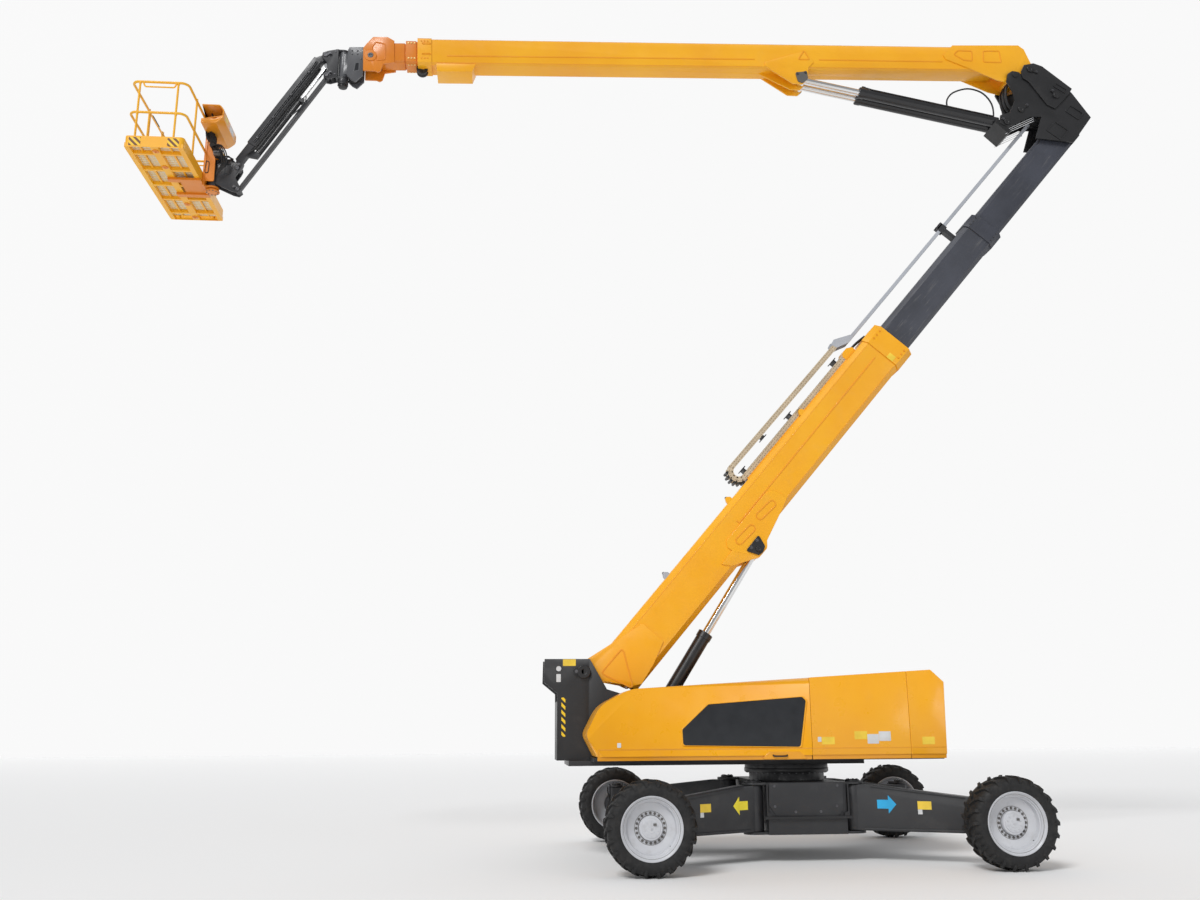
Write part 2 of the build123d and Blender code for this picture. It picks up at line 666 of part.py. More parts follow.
link_outline = [
    (12640, 720), (12729, 820), (12866, 850), (13011, 746), (13069, 596), (13073, -49), (12968, -68),
    (12758, -60), (12543, -47), (12509, 105), (12653, 600),
]
with BuildPart() as elbow:
    for outline in (elbow_arm, elbow_wrap):
        pair(plate, tower, elbow_inner, elbow_inner + elbow_plate, outline)
    section(tower, fly_end - 210, fly_end, tower_mid_t, (2 * elbow_inner + 2, tower_fly_size[1], 30))
    section(tower, fly_end - 211, fly_end + 1, tower_mid_t, grown(tower_fly_size, fit), mode=Mode.SUBTRACT)
    plate(tower, -elbow_inner, elbow_inner, [(12560, -620), (12850, -600), (12840, -560), (12570, -580)])
    plate(tower, -elbow_inner, elbow_inner, [(12860, -560), (13010, -90), (12980, -80), (12830, -550)])
    disc(tower, -elbow_inner, elbow_inner, (12130, 395), 60)
    disc(tower, -elbow_inner - elbow_plate - 20, elbow_inner + elbow_plate + 20,
         (tower.to_local_coords(Vector(boom_pin_x, 0, boom_pin_z)).X,
          tower.to_local_coords(Vector(boom_pin_x, 0, boom_pin_z)).Y), boom_pin_radius)
save(elbow, "elbow")

with BuildPart() as elbow_link:
    pair(plate, tower, elbow_inner + elbow_plate + fit, elbow_inner + elbow_plate + 26, link_outline)
save(elbow_link, "elbow_link")

# ---------------------------------------------------------------- main boom
boom_mid_v = boom_low + boom_depth / 2
boom_base_size = (boom_width, boom_depth, boom_corner)
rear_outline = [
    (1224, 400), (1035, 600), (-161, 619), (-254, 540), (-344, 258), (-225, -64), (0, -150), (312, -72),
    (762, 142), (1179, 326),
]
luff_outline = [
    (4393, 228), (4391, 150), (3939, -177), (3762, -184), (3663, -76), (3646, 121), (3537, 241), (3689, 447),
]
with BuildPart() as boom_base:
    section(boom, boom_start, boom_end, boom_mid_v, boom_base_size)
    section(boom, boom_end - 230, boom_end, boom_mid_v, grown(boom_base_size, 16))
    section(boom, boom_start + 200, boom_end, boom_mid_v, grown(boom_base_size, -boom_wall),
            mode=Mode.SUBTRACT)
    pair(plate, boom, boom_width / 2, boom_width / 2 + 18, rear_outline)
    disc(boom, -boom_width / 2 - 18, boom_width / 2 + 18, (0, 0), 100)
    disc(boom, -boom_width / 2 - 18, boom_width / 2 + 18, (0, 0), boom_pin_radius + fit, mode=Mode.SUBTRACT)
    pair(plate, boom, boom_width / 2 - 12, boom_width / 2 + 15, luff_outline)
    plate(boom, -15, 15, [(4480, boom_low + 4), (3939, -177), (3762, -184), (3663, -76), (3646, boom_low + 4)])
    disc(boom, -boom_width / 2 - 30, boom_width / 2 + 30, (luff_pin_u, luff_pin_v), luff_pin_radius)
    plate(boom, -boom_width / 2, boom_width / 2, [(9300, boom_low + 8), (9360, boom_low - 138),
                                                  (9940, boom_low - 138), (9950, boom_low + 8)])
    mouth(boom, boom_end, boom_mid_v, boom_base_size, stage_one_size, boom_wall)
save(boom_base, "boom_base")

luff_pin = world(boom, luff_pin_u, luff_pin_v)
luff_frame, luff_length = aimed(luff_foot_x, luff_foot_z, *luff_pin, facing=1)
luff_rod_frame, _ = aimed(*luff_pin, luff_foot_x, luff_foot_z)

with BuildPart() as luff_rods:
    for way in (-1, 1):
        y_low, y_high = way * luff_spread - 66, way * luff_spread + 66
        disc(luff_rod_frame, y_low, y_high, (0, 0), 78)
        bar(luff_rod_frame, 50, luff_length - luff_rod_end, luff_rod_radius, y=way * luff_spread)
        disc(luff_rod_frame, y_low, y_high, (0, 0), luff_pin_radius + fit, mode=Mode.SUBTRACT)
save(luff_rods, "luff_rods")

with BuildPart() as luff_barrels:
    for way in (-1, 1):
        y = way * luff_spread
        bar(luff_frame, 110, luff_head_at, luff_barrel_radius, y=y)
        bar(luff_frame, luff_head_at - 80, luff_head_at, luff_barrel_radius + 8, y=y)
        disc(luff_frame, y - 60, y + 60, (0, 0), 82)
        bar(luff_frame, 0, 120, 58, y=y)
        bar(luff_frame, luff_bore_start, luff_head_at, luff_rod_radius + fit, y=y, mode=Mode.SUBTRACT)
    disc(luff_frame, -elbow_inner + fit, elbow_inner - fit, (0, 0), 40)
save(luff_barrels, "luff_barrels")

with BuildPart() as boom_stage_one:
    section(boom, stage_back, stage_one_end, boom_mid_v, stage_one_size)
    section(boom, stage_one_end - 170, stage_one_end, boom_mid_v, grown(stage_one_size, 12))
    section(boom, stage_back, stage_one_end, boom_mid_v, grown(stage_one_size, -boom_wall),
            mode=Mode.SUBTRACT)
    mouth(boom, stage_one_end, boom_mid_v, stage_one_size, stage_two_size, boom_wall)
save(boom_stage_one, "boom_stage_one")

nose_outline = [
    (10640, 160), (10640, 560), (10749, 630), (10987, 628), (11105, 486), (11149, 417), (11149, 0),
    (10960, -5), (10905, -30), (10860, 0), (10820, 130),
]
level_u, level_v = (boom.to_local_coords(Vector(level_x, 0, level_z)).X,
                    boom.to_local_coords(Vector(level_x, 0, level_z)).Y)
with BuildPart() as boom_nose:
    section(boom, stage_back + 200, stage_two_end, boom_mid_v, stage_two_size)
    section(boom, stage_back + 200, stage_two_end - 500, boom_mid_v, grown(stage_two_size, -boom_wall),
            mode=Mode.SUBTRACT)
    section(boom, stage_one_end + 20, 10860, boom_mid_v, grown(stage_two_size, 12))
    pair(plate, boom, 125, 155, nose_outline)
    disc(boom, -155, 155, (level_u, level_v), level_pin_radius + fit, mode=Mode.SUBTRACT)
save(boom_nose, "boom_nose")

with BuildPart() as level_pin:
    disc(side, -155, 155, (level_x, level_z), level_pin_radius)
save(level_pin, "level_pin")

# ---------------------------------------------------------------- jib head and side swing
swing_low = 12240.0
swing_top = 12700.0
head_outline = [
    (level_x + 60, level_z + 60), (level_x - 60, level_z + 80), (-6600, 12775), (-6835, 12765),
    (swing_x + 70, swing_top), (swing_x + 70, swing_low), (-6790, 12170), (-6712, 12130), (-6600, 12259),
    (-6600, 12500),
    (level_x - 60, level_z - 80), (level_x + 60, level_z - 60),
]
with BuildPart() as jib_head:
    pair(plate, side, 84, 119, head_outline)
    disc(side, -119, 119, (level_x, level_z), 84)
    disc(side, -119, 119, (level_x, level_z), level_pin_radius + fit, mode=Mode.SUBTRACT)
    column(swing_x, 0, swing_low, swing_top, 78)
    block((swing_x, -78, swing_low + 40), (swing_x + 80, 78, swing_top - 40))
    block((swing_x + 70, -119, swing_low + 40), (swing_x + 110, 119, swing_top - 40))
    column(swing_x, 0, swing_low, swing_top, 36 + fit, mode=Mode.SUBTRACT)
save(jib_head, "jib_head")

bracket_outline_jib = [
    (-7025, 12735), (-7180, 12700), (-7270, 12660), (-7282, 12580), (-7200, 12490), (-7180, 12340),
    (-7240, 12270), (-7235, 12200), (-7150, 12185), (-7025, 12225),
]
with BuildPart() as jib_bracket:
    pair(plate, side, 62, 90, bracket_outline_jib)
    block((-7050, -90, 12225), (-7016, 90, 12735))
    for low in (swing_low - run - 30, swing_top + run):
        column(swing_x, 0, low, low + 30, 80)
        block((-7020, -80, low), (swing_x, 80, low + 30))
    column(swing_x, 0, swing_low - run - 30, swing_top + run + 30, 36)
    column(swing_x, 0, 12125, swing_low - run - 30, 86)
    disc(side, -90, 90, (jib_pin_x, jib_pin_z), jib_pin_radius)
    disc(side, -90, 90, (link_pin_x, link_pin_z), jib_pin_radius)
save(jib_bracket, "jib_bracket")

# ---------------------------------------------------------------- jib, link and cylinder
jib_cylinder_t = -105.0
with BuildPart() as jib_arm:
    section(jib, 125, 2000, 70, (jib_width, jib_depth, 12))
    section(jib, 2000, jib_length - 125, 70, (jib_width - 30, jib_depth - 30, 8))
    plate(jib, -54, 54, [(0, -42), (-35, 20), (0, 44), (140, 140), (140, -5)])
    plate(jib, -54, 54, [(jib_length, -42), (jib_length + 35, 20), (jib_length, 44),
                         (jib_length - 140, 120), (jib_length - 140, -5)])
    for at in (0, jib_length):
        disc(jib, -54, 54, (at, 0), 45)
    for at in (0, jib_length):
        disc(jib, -54, 54, (at, 0), jib_pin_radius + fit, mode=Mode.SUBTRACT)
    plate(jib, -30, 30, [(2060, 20), (2060, jib_cylinder_t - 30), (2140, jib_cylinder_t - 30),
                         (2200, 20)])
save(jib_arm, "jib_arm")

with BuildPart() as jib_barrel:
    bar(jib, 900, 2059, 38, t=jib_cylinder_t)
    bar(jib, 860, 930, 44, t=jib_cylinder_t)
    bar(jib, 860, 1960, 24 + fit, t=jib_cylinder_t, mode=Mode.SUBTRACT)
save(jib_barrel, "jib_barrel")

with BuildPart() as jib_rod:
    bar(jib, 160, 1500, 24, t=jib_cylinder_t)
    disc(jib, -50, 50, (140, jib_cylinder_t), 40)
save(jib_rod, "jib_rod")

with BuildPart() as jib_link:
    section(link, 30, jib_length - 30, 0, (80, 60, 6))
    for at in (0, jib_length):
        disc(link, -54, 54, (at, 0), 45)
    for at in (0, jib_length):
        disc(link, -54, 54, (at, 0), jib_pin_radius + fit, mode=Mode.SUBTRACT)
save(jib_link, "jib_link")

end_x, end_z = world(jib, jib_length, 0)
low_x, low_z = world(link, jib_length, 0)
end_outline = [
    (end_x + 62, end_z + 10), (end_x + 10, end_z + 66), (end_x - 90, end_z + 150), (rotator_x + 70, end_z + 130),
    (rotator_x + 70, rotator_low + 20), (low_x - 90, low_z - 40), (low_x, low_z - 60), (low_x + 55, low_z - 10),
    (low_x + 30, low_z + 55), (end_x - 20, end_z - 160), (end_x + 40, end_z - 50),
]
with BuildPart() as jib_end:
    pair(plate, side, 62, 88, end_outline)
    block((rotator_x + 60, -88, rotator_low + 20), (rotator_x + 90, 88, end_z + 130))
    column(rotator_x, 0, rotator_low, rotator_top, rotator_radius)
    block((rotator_x, -70, rotator_low + 40), (rotator_x + 70, 70, rotator_top - 40))
    disc(side, -88, 88, (end_x, end_z), jib_pin_radius)
    disc(side, -88, 88, (low_x, low_z), jib_pin_radius)
    column(rotator_x, 0, rotator_low, rotator_top, 40 + fit, mode=Mode.SUBTRACT)
save(jib_end, "jib_end")

# ---------------------------------------------------------------- basket
basket_left = basket_right - basket_length
gate_half = 350.0
gate_hinge_y = gate_half - 38
gate_low = basket_mid_rail_z - 240
gate_high = basket_top_rail_z + 16
gate_pin_radius = 7.0
console_low = rotator_top + 410

with BuildPart() as basket_support:
    block((basket_right, -160, rotator_low - run - 34), (rotator_x - rotator_radius - run, 160,
                                                            rotator_top + run + 34))
    for low in (rotator_low - run - 34, rotator_top + run):
        column(rotator_x, 0, low, low + 34, 100)
        block((rotator_x - rotator_radius - run, -100, low), (rotator_x, 100, low + 34))
    column(rotator_x, 0, rotator_low - run - 34, rotator_top + run + 34, 40)
    for way in (-1, 1):
        y_low, y_high = sorted((way * 120, way * 160))
        block((basket_right, y_low, rotator_top), (rotator_x - rotator_radius - run, y_high, console_low - fit))
save(basket_support, "basket_support")


def rail(z):
    """A waist-high tube round the basket, open at the gate."""
    x_low, x_high = basket_left + tube_radius, basket_right - tube_radius
    y = basket_half_width - tube_radius
    end = gate_half - 6
    tube([(x_low, end, z), (x_low, y, z), (x_high, y, z), (x_high, -y, z), (x_low, -y, z),
          (x_low, -end, z)], tube_radius, 110)


with BuildPart() as basket_frame:
    with BuildSketch(Plane.XY.offset(basket_low)) as face:
        with Locations((basket_right - basket_length / 2, 0)):
            RectangleRounded(basket_length, 2 * basket_half_width, 60)
            RectangleRounded(basket_length - 12, 2 * basket_half_width - 12, 54, mode=Mode.SUBTRACT)
    put(face, basket_toe)
    for y in (-980, -490, 0, 490, 980):
        block((basket_left + 5, y - 22, basket_low + 5), (basket_right - 5, y + 22, basket_floor_z - fit))
    for x in (basket_left + 40, basket_right - basket_length / 2, basket_right - 40):
        half = 55 if x == basket_right - basket_length / 2 else 35
        block((x - half, -basket_half_width + 5, basket_low), (x + half, basket_half_width - 5,
                                                              basket_floor_z - fit))
    rail(basket_mid_rail_z)
    rail(basket_top_rail_z)
    for x in (basket_left + 140, basket_right - 160):
        for y in (-basket_half_width + tube_radius, basket_half_width - tube_radius):
            column(x, y, basket_low + 20, basket_top_rail_z, post_radius)
    for x, y in ((basket_left + tube_radius, -gate_half), (basket_left + tube_radius, gate_half),
                 (basket_right - tube_radius, -700), (basket_right - tube_radius, 700)):
        column(x, y, basket_low + 20, basket_top_rail_z + 40, post_radius)
    for z in (gate_low - 18, gate_high + 4):
        block((basket_left + 8, gate_hinge_y - 12, z), (basket_left + 30, gate_half, z + 14))
    column(basket_left + tube_radius, gate_hinge_y, gate_low - 10, gate_high + 10, gate_pin_radius)
    for way in (-1, 1):
        y = way * (basket_half_width - tube_radius)
        low = basket_top_rail_z - grab_drop
        high_end, low_end = grab_ends
        tube([(basket_left + high_end, y, basket_top_rail_z), (basket_left + low_end, y, low),
              (basket_right - low_end, y, low), (basket_right - high_end, y, basket_top_rail_z)], grab_radius, 30)
save(basket_frame, "basket_frame")

with BuildPart() as basket_floor:
    block((basket_left + floor_inset, -basket_half_width + floor_inset, basket_floor_z),
          (basket_right - floor_inset, basket_half_width - floor_inset, basket_floor_z + 10))
save(basket_floor, "basket_floor")

with BuildPart() as basket_gate:
    x = basket_left + tube_radius
    latch_y = -gate_half + tube_radius + run + 15
    column(x, gate_hinge_y, gate_low, gate_high, 14)
    column(x, latch_y, gate_low, gate_high, 14)
    for z in (basket_mid_rail_z, basket_top_rail_z - 6):
        block((x - 11, latch_y, z - 11), (x + 11, gate_hinge_y, z + 11))
    column(x, gate_hinge_y, gate_low, gate_high, gate_pin_radius + fit, mode=Mode.SUBTRACT)
save(basket_gate, "basket_gate")

with BuildPart() as console:
    outline = [(basket_right + 2, console_low), (-8770, console_low), (-8665, console_low + 90),
               (-8665, console_low + 240), (-8730, console_low + 320), (basket_right + 2, console_low + 320)]
    inner = [(basket_right - 2, console_low + 80), (-8790, console_low + 80), (-8680, console_low + 150),
             (-8680, console_low + 230), (-8740, console_low + 305), (basket_right - 2, console_low + 305)]
    plate(side, -500, 300, outline)
    plate(side, -510, 290, inner, mode=Mode.SUBTRACT)
save(console, "console")
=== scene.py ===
import bmesh
import bpy
import json
import math
from mathutils import Matrix, Vector

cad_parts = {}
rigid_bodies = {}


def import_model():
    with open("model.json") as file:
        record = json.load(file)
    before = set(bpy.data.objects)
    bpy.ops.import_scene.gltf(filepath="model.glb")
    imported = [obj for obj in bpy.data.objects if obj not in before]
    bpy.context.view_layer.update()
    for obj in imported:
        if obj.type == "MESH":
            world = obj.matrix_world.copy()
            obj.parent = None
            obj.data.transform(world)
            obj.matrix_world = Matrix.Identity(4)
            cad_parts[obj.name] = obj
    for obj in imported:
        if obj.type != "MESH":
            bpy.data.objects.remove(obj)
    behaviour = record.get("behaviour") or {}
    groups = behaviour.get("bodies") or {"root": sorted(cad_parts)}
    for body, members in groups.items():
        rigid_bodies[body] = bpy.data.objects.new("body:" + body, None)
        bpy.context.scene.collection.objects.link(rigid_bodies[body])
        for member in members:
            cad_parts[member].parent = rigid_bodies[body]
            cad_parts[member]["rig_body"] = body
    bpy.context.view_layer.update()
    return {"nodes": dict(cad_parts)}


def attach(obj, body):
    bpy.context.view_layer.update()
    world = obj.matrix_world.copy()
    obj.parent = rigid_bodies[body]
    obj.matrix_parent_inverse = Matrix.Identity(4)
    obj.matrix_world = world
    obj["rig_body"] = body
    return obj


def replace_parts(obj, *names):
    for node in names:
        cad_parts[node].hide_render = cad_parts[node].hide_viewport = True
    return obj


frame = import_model()
nodes = frame["nodes"]
corners = [("front_left", -1, -1), ("front_right", -1, 1), ("rear_left", 1, -1), ("rear_right", 1, 1)]
print("frame loaded:", len(nodes), "nodes")


# camera, floor and lights
view = {"place": (-4.148, -16.531, 1.772), "pitch": 14.16, "yaw": 5.0, "roll": -0.41, "lens": 33.11,
        "sensor": 36.0, "reach": 200.0}


def placed(name, data):
    thing = bpy.data.objects.new(name, data)
    bpy.context.scene.collection.objects.link(thing)
    return thing


def makeCamera():
    pitch, yaw, roll = (math.radians(view[k]) for k in ("pitch", "yaw", "roll"))
    forward = Vector((math.sin(yaw) * math.cos(pitch), math.cos(yaw) * math.cos(pitch), math.sin(pitch)))
    flatRight = Vector((math.cos(yaw), -math.sin(yaw), 0))
    flatUp = flatRight.cross(forward)
    right = flatRight * math.cos(roll) + flatUp * math.sin(roll)
    up = right.cross(forward)
    data = bpy.data.cameras.new("camera")
    data.lens, data.sensor_width, data.clip_end = view["lens"], view["sensor"], view["reach"]
    camera = placed("camera", data)
    turn = Matrix((right, up, -forward)).transposed().to_4x4()
    camera.matrix_world = Matrix.Translation(view["place"]) @ turn
    bpy.context.scene.camera = camera


studio = {
    "floorSize": 300.0,
    "floorColor": (0.90, 0.90, 0.90, 1), "floorRough": 0.9,
    "wall": (70.0, 120.0, 0.93),  # how far, how high, how bright
    "skyColor": (0.97, 0.98, 1.0, 1),
    "skyStrength": 0.36,
    "sun": (1.75, 20.0, (-0.40, -0.60, 0.69)),
    "lamps": [  # name, place, aimed at, size, power
        ("fillLight", (16, -20, 8), (2, 0, 4), 7, 420),
        ("lowLight", (-9, -15, 4.2), (-6, 0, 10), 5, 240),
    ],
}


def makeStudio():
    size = studio["floorSize"] / 2
    away, high, glow = studio["wall"]
    for name, points in (("floor", [(-size, -size, 0), (size, -size, 0), (size, size, 0), (-size, size, 0)]),
                         ("backWall", [(-size, away, 0), (size, away, 0), (size, away, high),
                                       (-size, away, high)])):
        mesh = bpy.data.meshes.new(name)
        mesh.from_pydata(points, [], [(0, 1, 2, 3)])
        sheet = placed(name, mesh)
        material = bpy.data.materials.new("studio_" + name)
        material.use_nodes = True
        shader = material.node_tree.nodes["Principled BSDF"]
        shader.inputs["Base Color"].default_value = studio["floorColor"]
        shader.inputs["Roughness"].default_value = studio["floorRough"]
        if name == "backWall":
            shader.inputs["Base Color"].default_value = (0, 0, 0, 1)
            shader.inputs["Emission Color"].default_value = (1, 1, 1, 1)
            shader.inputs["Emission Strength"].default_value = glow
        mesh.materials.append(material)
    world = bpy.data.worlds.new("studioSky")
    world.use_nodes = True
    world.node_tree.nodes["Background"].inputs[0].default_value = studio["skyColor"]
    world.node_tree.nodes["Background"].inputs[1].default_value = studio["skyStrength"]
    bpy.context.scene.world = world
    strength, spread, way = studio["sun"]
    sun = bpy.data.lights.new("sunLight", "SUN")
    sun.energy, sun.angle = strength, math.radians(spread)
    lamp = placed("sunLight", sun)
    lamp.rotation_euler = (-Vector(way)).to_track_quat("-Z", "Y").to_euler()
    for name, place, target, size, power in studio["lamps"]:
        data = bpy.data.lights.new(name, "AREA")
        data.size, data.energy = size, power
        lamp = placed(name, data)
        lamp.location = place
        lamp.rotation_euler = (Vector(target) - Vector(place)).to_track_quat("-Z", "Y").to_euler()
    bpy.context.scene.view_settings.view_transform = "Standard"


makeCamera()
makeStudio()
print("camera and studio ready")


# finishes, each worked out from Object coordinates
class Shade:
    # a material being wired: small steps that read in the order they are used
    def __init__(self, name, color, roughness=0.5, metallic=0.0, **sockets):
        self.material = bpy.data.materials.new(name)
        self.material.use_nodes = True
        self.tree = self.material.node_tree
        self.shader = self.tree.nodes["Principled BSDF"]
        self.shader.inputs["Base Color"].default_value = (*color, 1)
        self.shader.inputs["Roughness"].default_value = roughness
        self.shader.inputs["Metallic"].default_value = metallic
        for key, value in sockets.items():
            self.shader.inputs[key].default_value = value
        self.coords = self.tree.nodes.new("ShaderNodeTexCoord").outputs["Object"]

    def add(self, kind, **values):
        node = self.tree.nodes.new("ShaderNode" + kind)
        for key, value in values.items():
            if key in node.inputs:
                node.inputs[key].default_value = value
            else:
                setattr(node, key, value)
        return node

    def wire(self, source, target):
        self.tree.links.new(source, target)

    def stretched(self, scale=(1, 1, 1), turn=(0, 0, 0)):
        # the mapping turns first and stretches after, so a grain can follow a boom
        turned = self.add("Mapping")
        turned.inputs["Rotation"].default_value = turn
        self.wire(self.coords, turned.inputs["Vector"])
        sized = self.add("Mapping")
        sized.inputs["Scale"].default_value = scale
        self.wire(turned.outputs[0], sized.inputs["Vector"])
        return sized.outputs[0]

    def noise(self, scale, detail=3.0, rough=0.55, coords=None):
        node = self.add("TexNoise", Scale=scale, Detail=detail, Roughness=rough)
        self.wire(coords or self.coords, node.inputs["Vector"])
        return node.outputs["Fac"]

    def ramp(self, source, low, high, fromValue=0.0, toValue=1.0):
        node = self.add("MapRange")
        for key, value in (("From Min", low), ("From Max", high), ("To Min", fromValue), ("To Max", toValue)):
            node.inputs[key].default_value = value
        self.wire(source, node.inputs["Value"])
        return node.outputs[0]

    def blend(self, factor, first, second):
        # first and second are colours or sockets
        node = self.add("Mix", data_type="RGBA")
        for key, value in (("A", first), ("B", second)):
            socket = [s for s in node.inputs if s.name == key and s.type == "RGBA"][0]
            if isinstance(value, tuple):
                socket.default_value = (*value, 1)
            else:
                self.wire(value, socket)
        self.wire(factor, [s for s in node.inputs if s.name == "Factor" and s.type == "VALUE"][0])
        return [s for s in node.outputs if s.type == "RGBA"][0]

    def color(self, source):
        self.wire(source, self.shader.inputs["Base Color"])

    def roughness(self, source):
        self.wire(source, self.shader.inputs["Roughness"])

    def bump(self, source, distance, strength=1.0):
        node = self.add("Bump", Distance=distance, Strength=strength)
        self.wire(source, node.inputs["Height"])
        self.wire(node.outputs[0], self.shader.inputs["Normal"])


def paint(name, color, darker, gloss=0.32, coat=0.3, dust=0.25, dustColor=(0.32, 0.29, 0.25)):
    # rolled paint: slow tone changes, faint orange peel, a little dust that lies in patches
    shade = Shade(name, color, gloss, 0.0, **{"Coat Weight": coat, "Coat Roughness": 0.12})
    tone = shade.ramp(shade.noise(0.8, 4), 0.35, 0.7)
    base = shade.blend(tone, color, darker)
    grime = shade.ramp(shade.noise(3.1, 6, 0.65), 0.58, 0.82, 0.0, dust)
    shade.color(shade.blend(grime, base, dustColor))
    shade.roughness(shade.ramp(shade.noise(5.0, 5), 0.3, 0.75, gloss - 0.06, gloss + 0.16))
    shade.bump(shade.noise(90.0, 2), 0.0006, 0.35)
    return shade.material


def greasedSteel(name, color, smear, turn):
    # dark sliding sections with pale grease dragged along them
    shade = Shade(name, color, 0.4, 0.0, **{"Coat Weight": 0.15, "Coat Roughness": 0.3})
    along = shade.stretched((0.7, 9.0, 9.0), turn)
    streak = shade.ramp(shade.noise(2.6, 6, 0.7, along), 0.56, 0.78, 0.0, 0.55)
    patch = shade.ramp(shade.noise(1.1, 3), 0.42, 0.62)
    both = shade.add("Math", operation="MULTIPLY")
    shade.wire(streak, both.inputs[0])
    shade.wire(patch, both.inputs[1])
    tone = shade.blend(shade.ramp(shade.noise(1.7, 5), 0.35, 0.7), color, tuple(c * 1.55 for c in color))
    shade.color(shade.blend(both.outputs[0], tone, smear))
    shade.roughness(shade.ramp(streak, 0.0, 0.55, 0.46, 0.24))
    shade.bump(shade.noise(40.0, 3, 0.6, along), 0.0008, 0.4)
    return shade.material


def chrome(name, turn):
    shade = Shade(name, (0.83, 0.84, 0.86), 0.14, 1.0)
    along = shade.stretched((0.6, 30.0, 30.0), turn)
    oil = shade.ramp(shade.noise(2.0, 4, 0.6, along), 0.45, 0.75)
    shade.color(shade.blend(oil, (0.86, 0.87, 0.89), (0.66, 0.62, 0.54)))
    shade.roughness(shade.ramp(oil, 0.0, 1.0, 0.1, 0.26))
    return shade.material


def tyreRubber(name):
    shade = Shade(name, (0.010, 0.010, 0.0105), 0.72)
    dust = shade.ramp(shade.noise(6.0, 6, 0.7), 0.5, 0.8, 0.0, 0.45)
    shade.color(shade.blend(dust, (0.010, 0.010, 0.0105), (0.055, 0.049, 0.043)))
    shade.roughness(shade.ramp(shade.noise(20.0, 4), 0.3, 0.7, 0.6, 0.85))
    shade.bump(shade.noise(160.0, 4), 0.0012, 0.5)
    return shade.material


def rimPaint(name):
    shade = Shade(name, (0.56, 0.57, 0.60), 0.36, 0.0, **{"Coat Weight": 0.2, "Coat Roughness": 0.2})
    grime = shade.ramp(shade.noise(7.0, 7, 0.7), 0.52, 0.82, 0.0, 0.6)
    shade.color(shade.blend(grime, (0.56, 0.57, 0.60), (0.36, 0.355, 0.35)))
    shade.bump(shade.noise(60.0, 3), 0.0006, 0.4)
    return shade.material


def plastic(name, color, grain, roughness):
    shade = Shade(name, color, roughness)
    shade.color(shade.blend(shade.ramp(shade.noise(4.0, 4), 0.35, 0.7), color,
                            tuple(c * 0.78 for c in color)))
    shade.roughness(shade.ramp(shade.noise(9.0, 3), 0.3, 0.7, roughness - 0.08, roughness + 0.1))
    shade.bump(shade.noise(grain, 3), 0.0005, 0.5)
    return shade.material


def steel(name, color, roughness):
    shade = Shade(name, color, roughness, 1.0)
    shade.color(shade.blend(shade.ramp(shade.noise(25.0, 4), 0.4, 0.7), color, tuple(c * 0.7 for c in color)))
    shade.roughness(shade.ramp(shade.noise(40.0, 3), 0.3, 0.7, roughness - 0.08, roughness + 0.12))
    return shade.material


def hazardStripes(name, axis, width, light, dark):
    # slanted bands: a saw of one axis plus height
    shade = Shade(name, light, 0.42)
    parts = shade.add("SeparateXYZ")
    shade.wire(shade.coords, parts.inputs[0])
    summed = shade.add("Math", operation="ADD")
    shade.wire(parts.outputs[axis], summed.inputs[0])
    shade.wire(parts.outputs["Z"], summed.inputs[1])
    wrapped = shade.add("Math", operation="PINGPONG")
    wrapped.inputs[1].default_value = width
    shade.wire(summed.outputs[0], wrapped.inputs[0])
    edge = shade.ramp(wrapped.outputs[0], width * 0.48, width * 0.52)
    worn = shade.ramp(shade.noise(30.0, 5), 0.62, 0.75, 0.0, 0.3)
    shade.color(shade.blend(worn, shade.blend(edge, light, dark), (0.3, 0.28, 0.25)))
    return shade.material


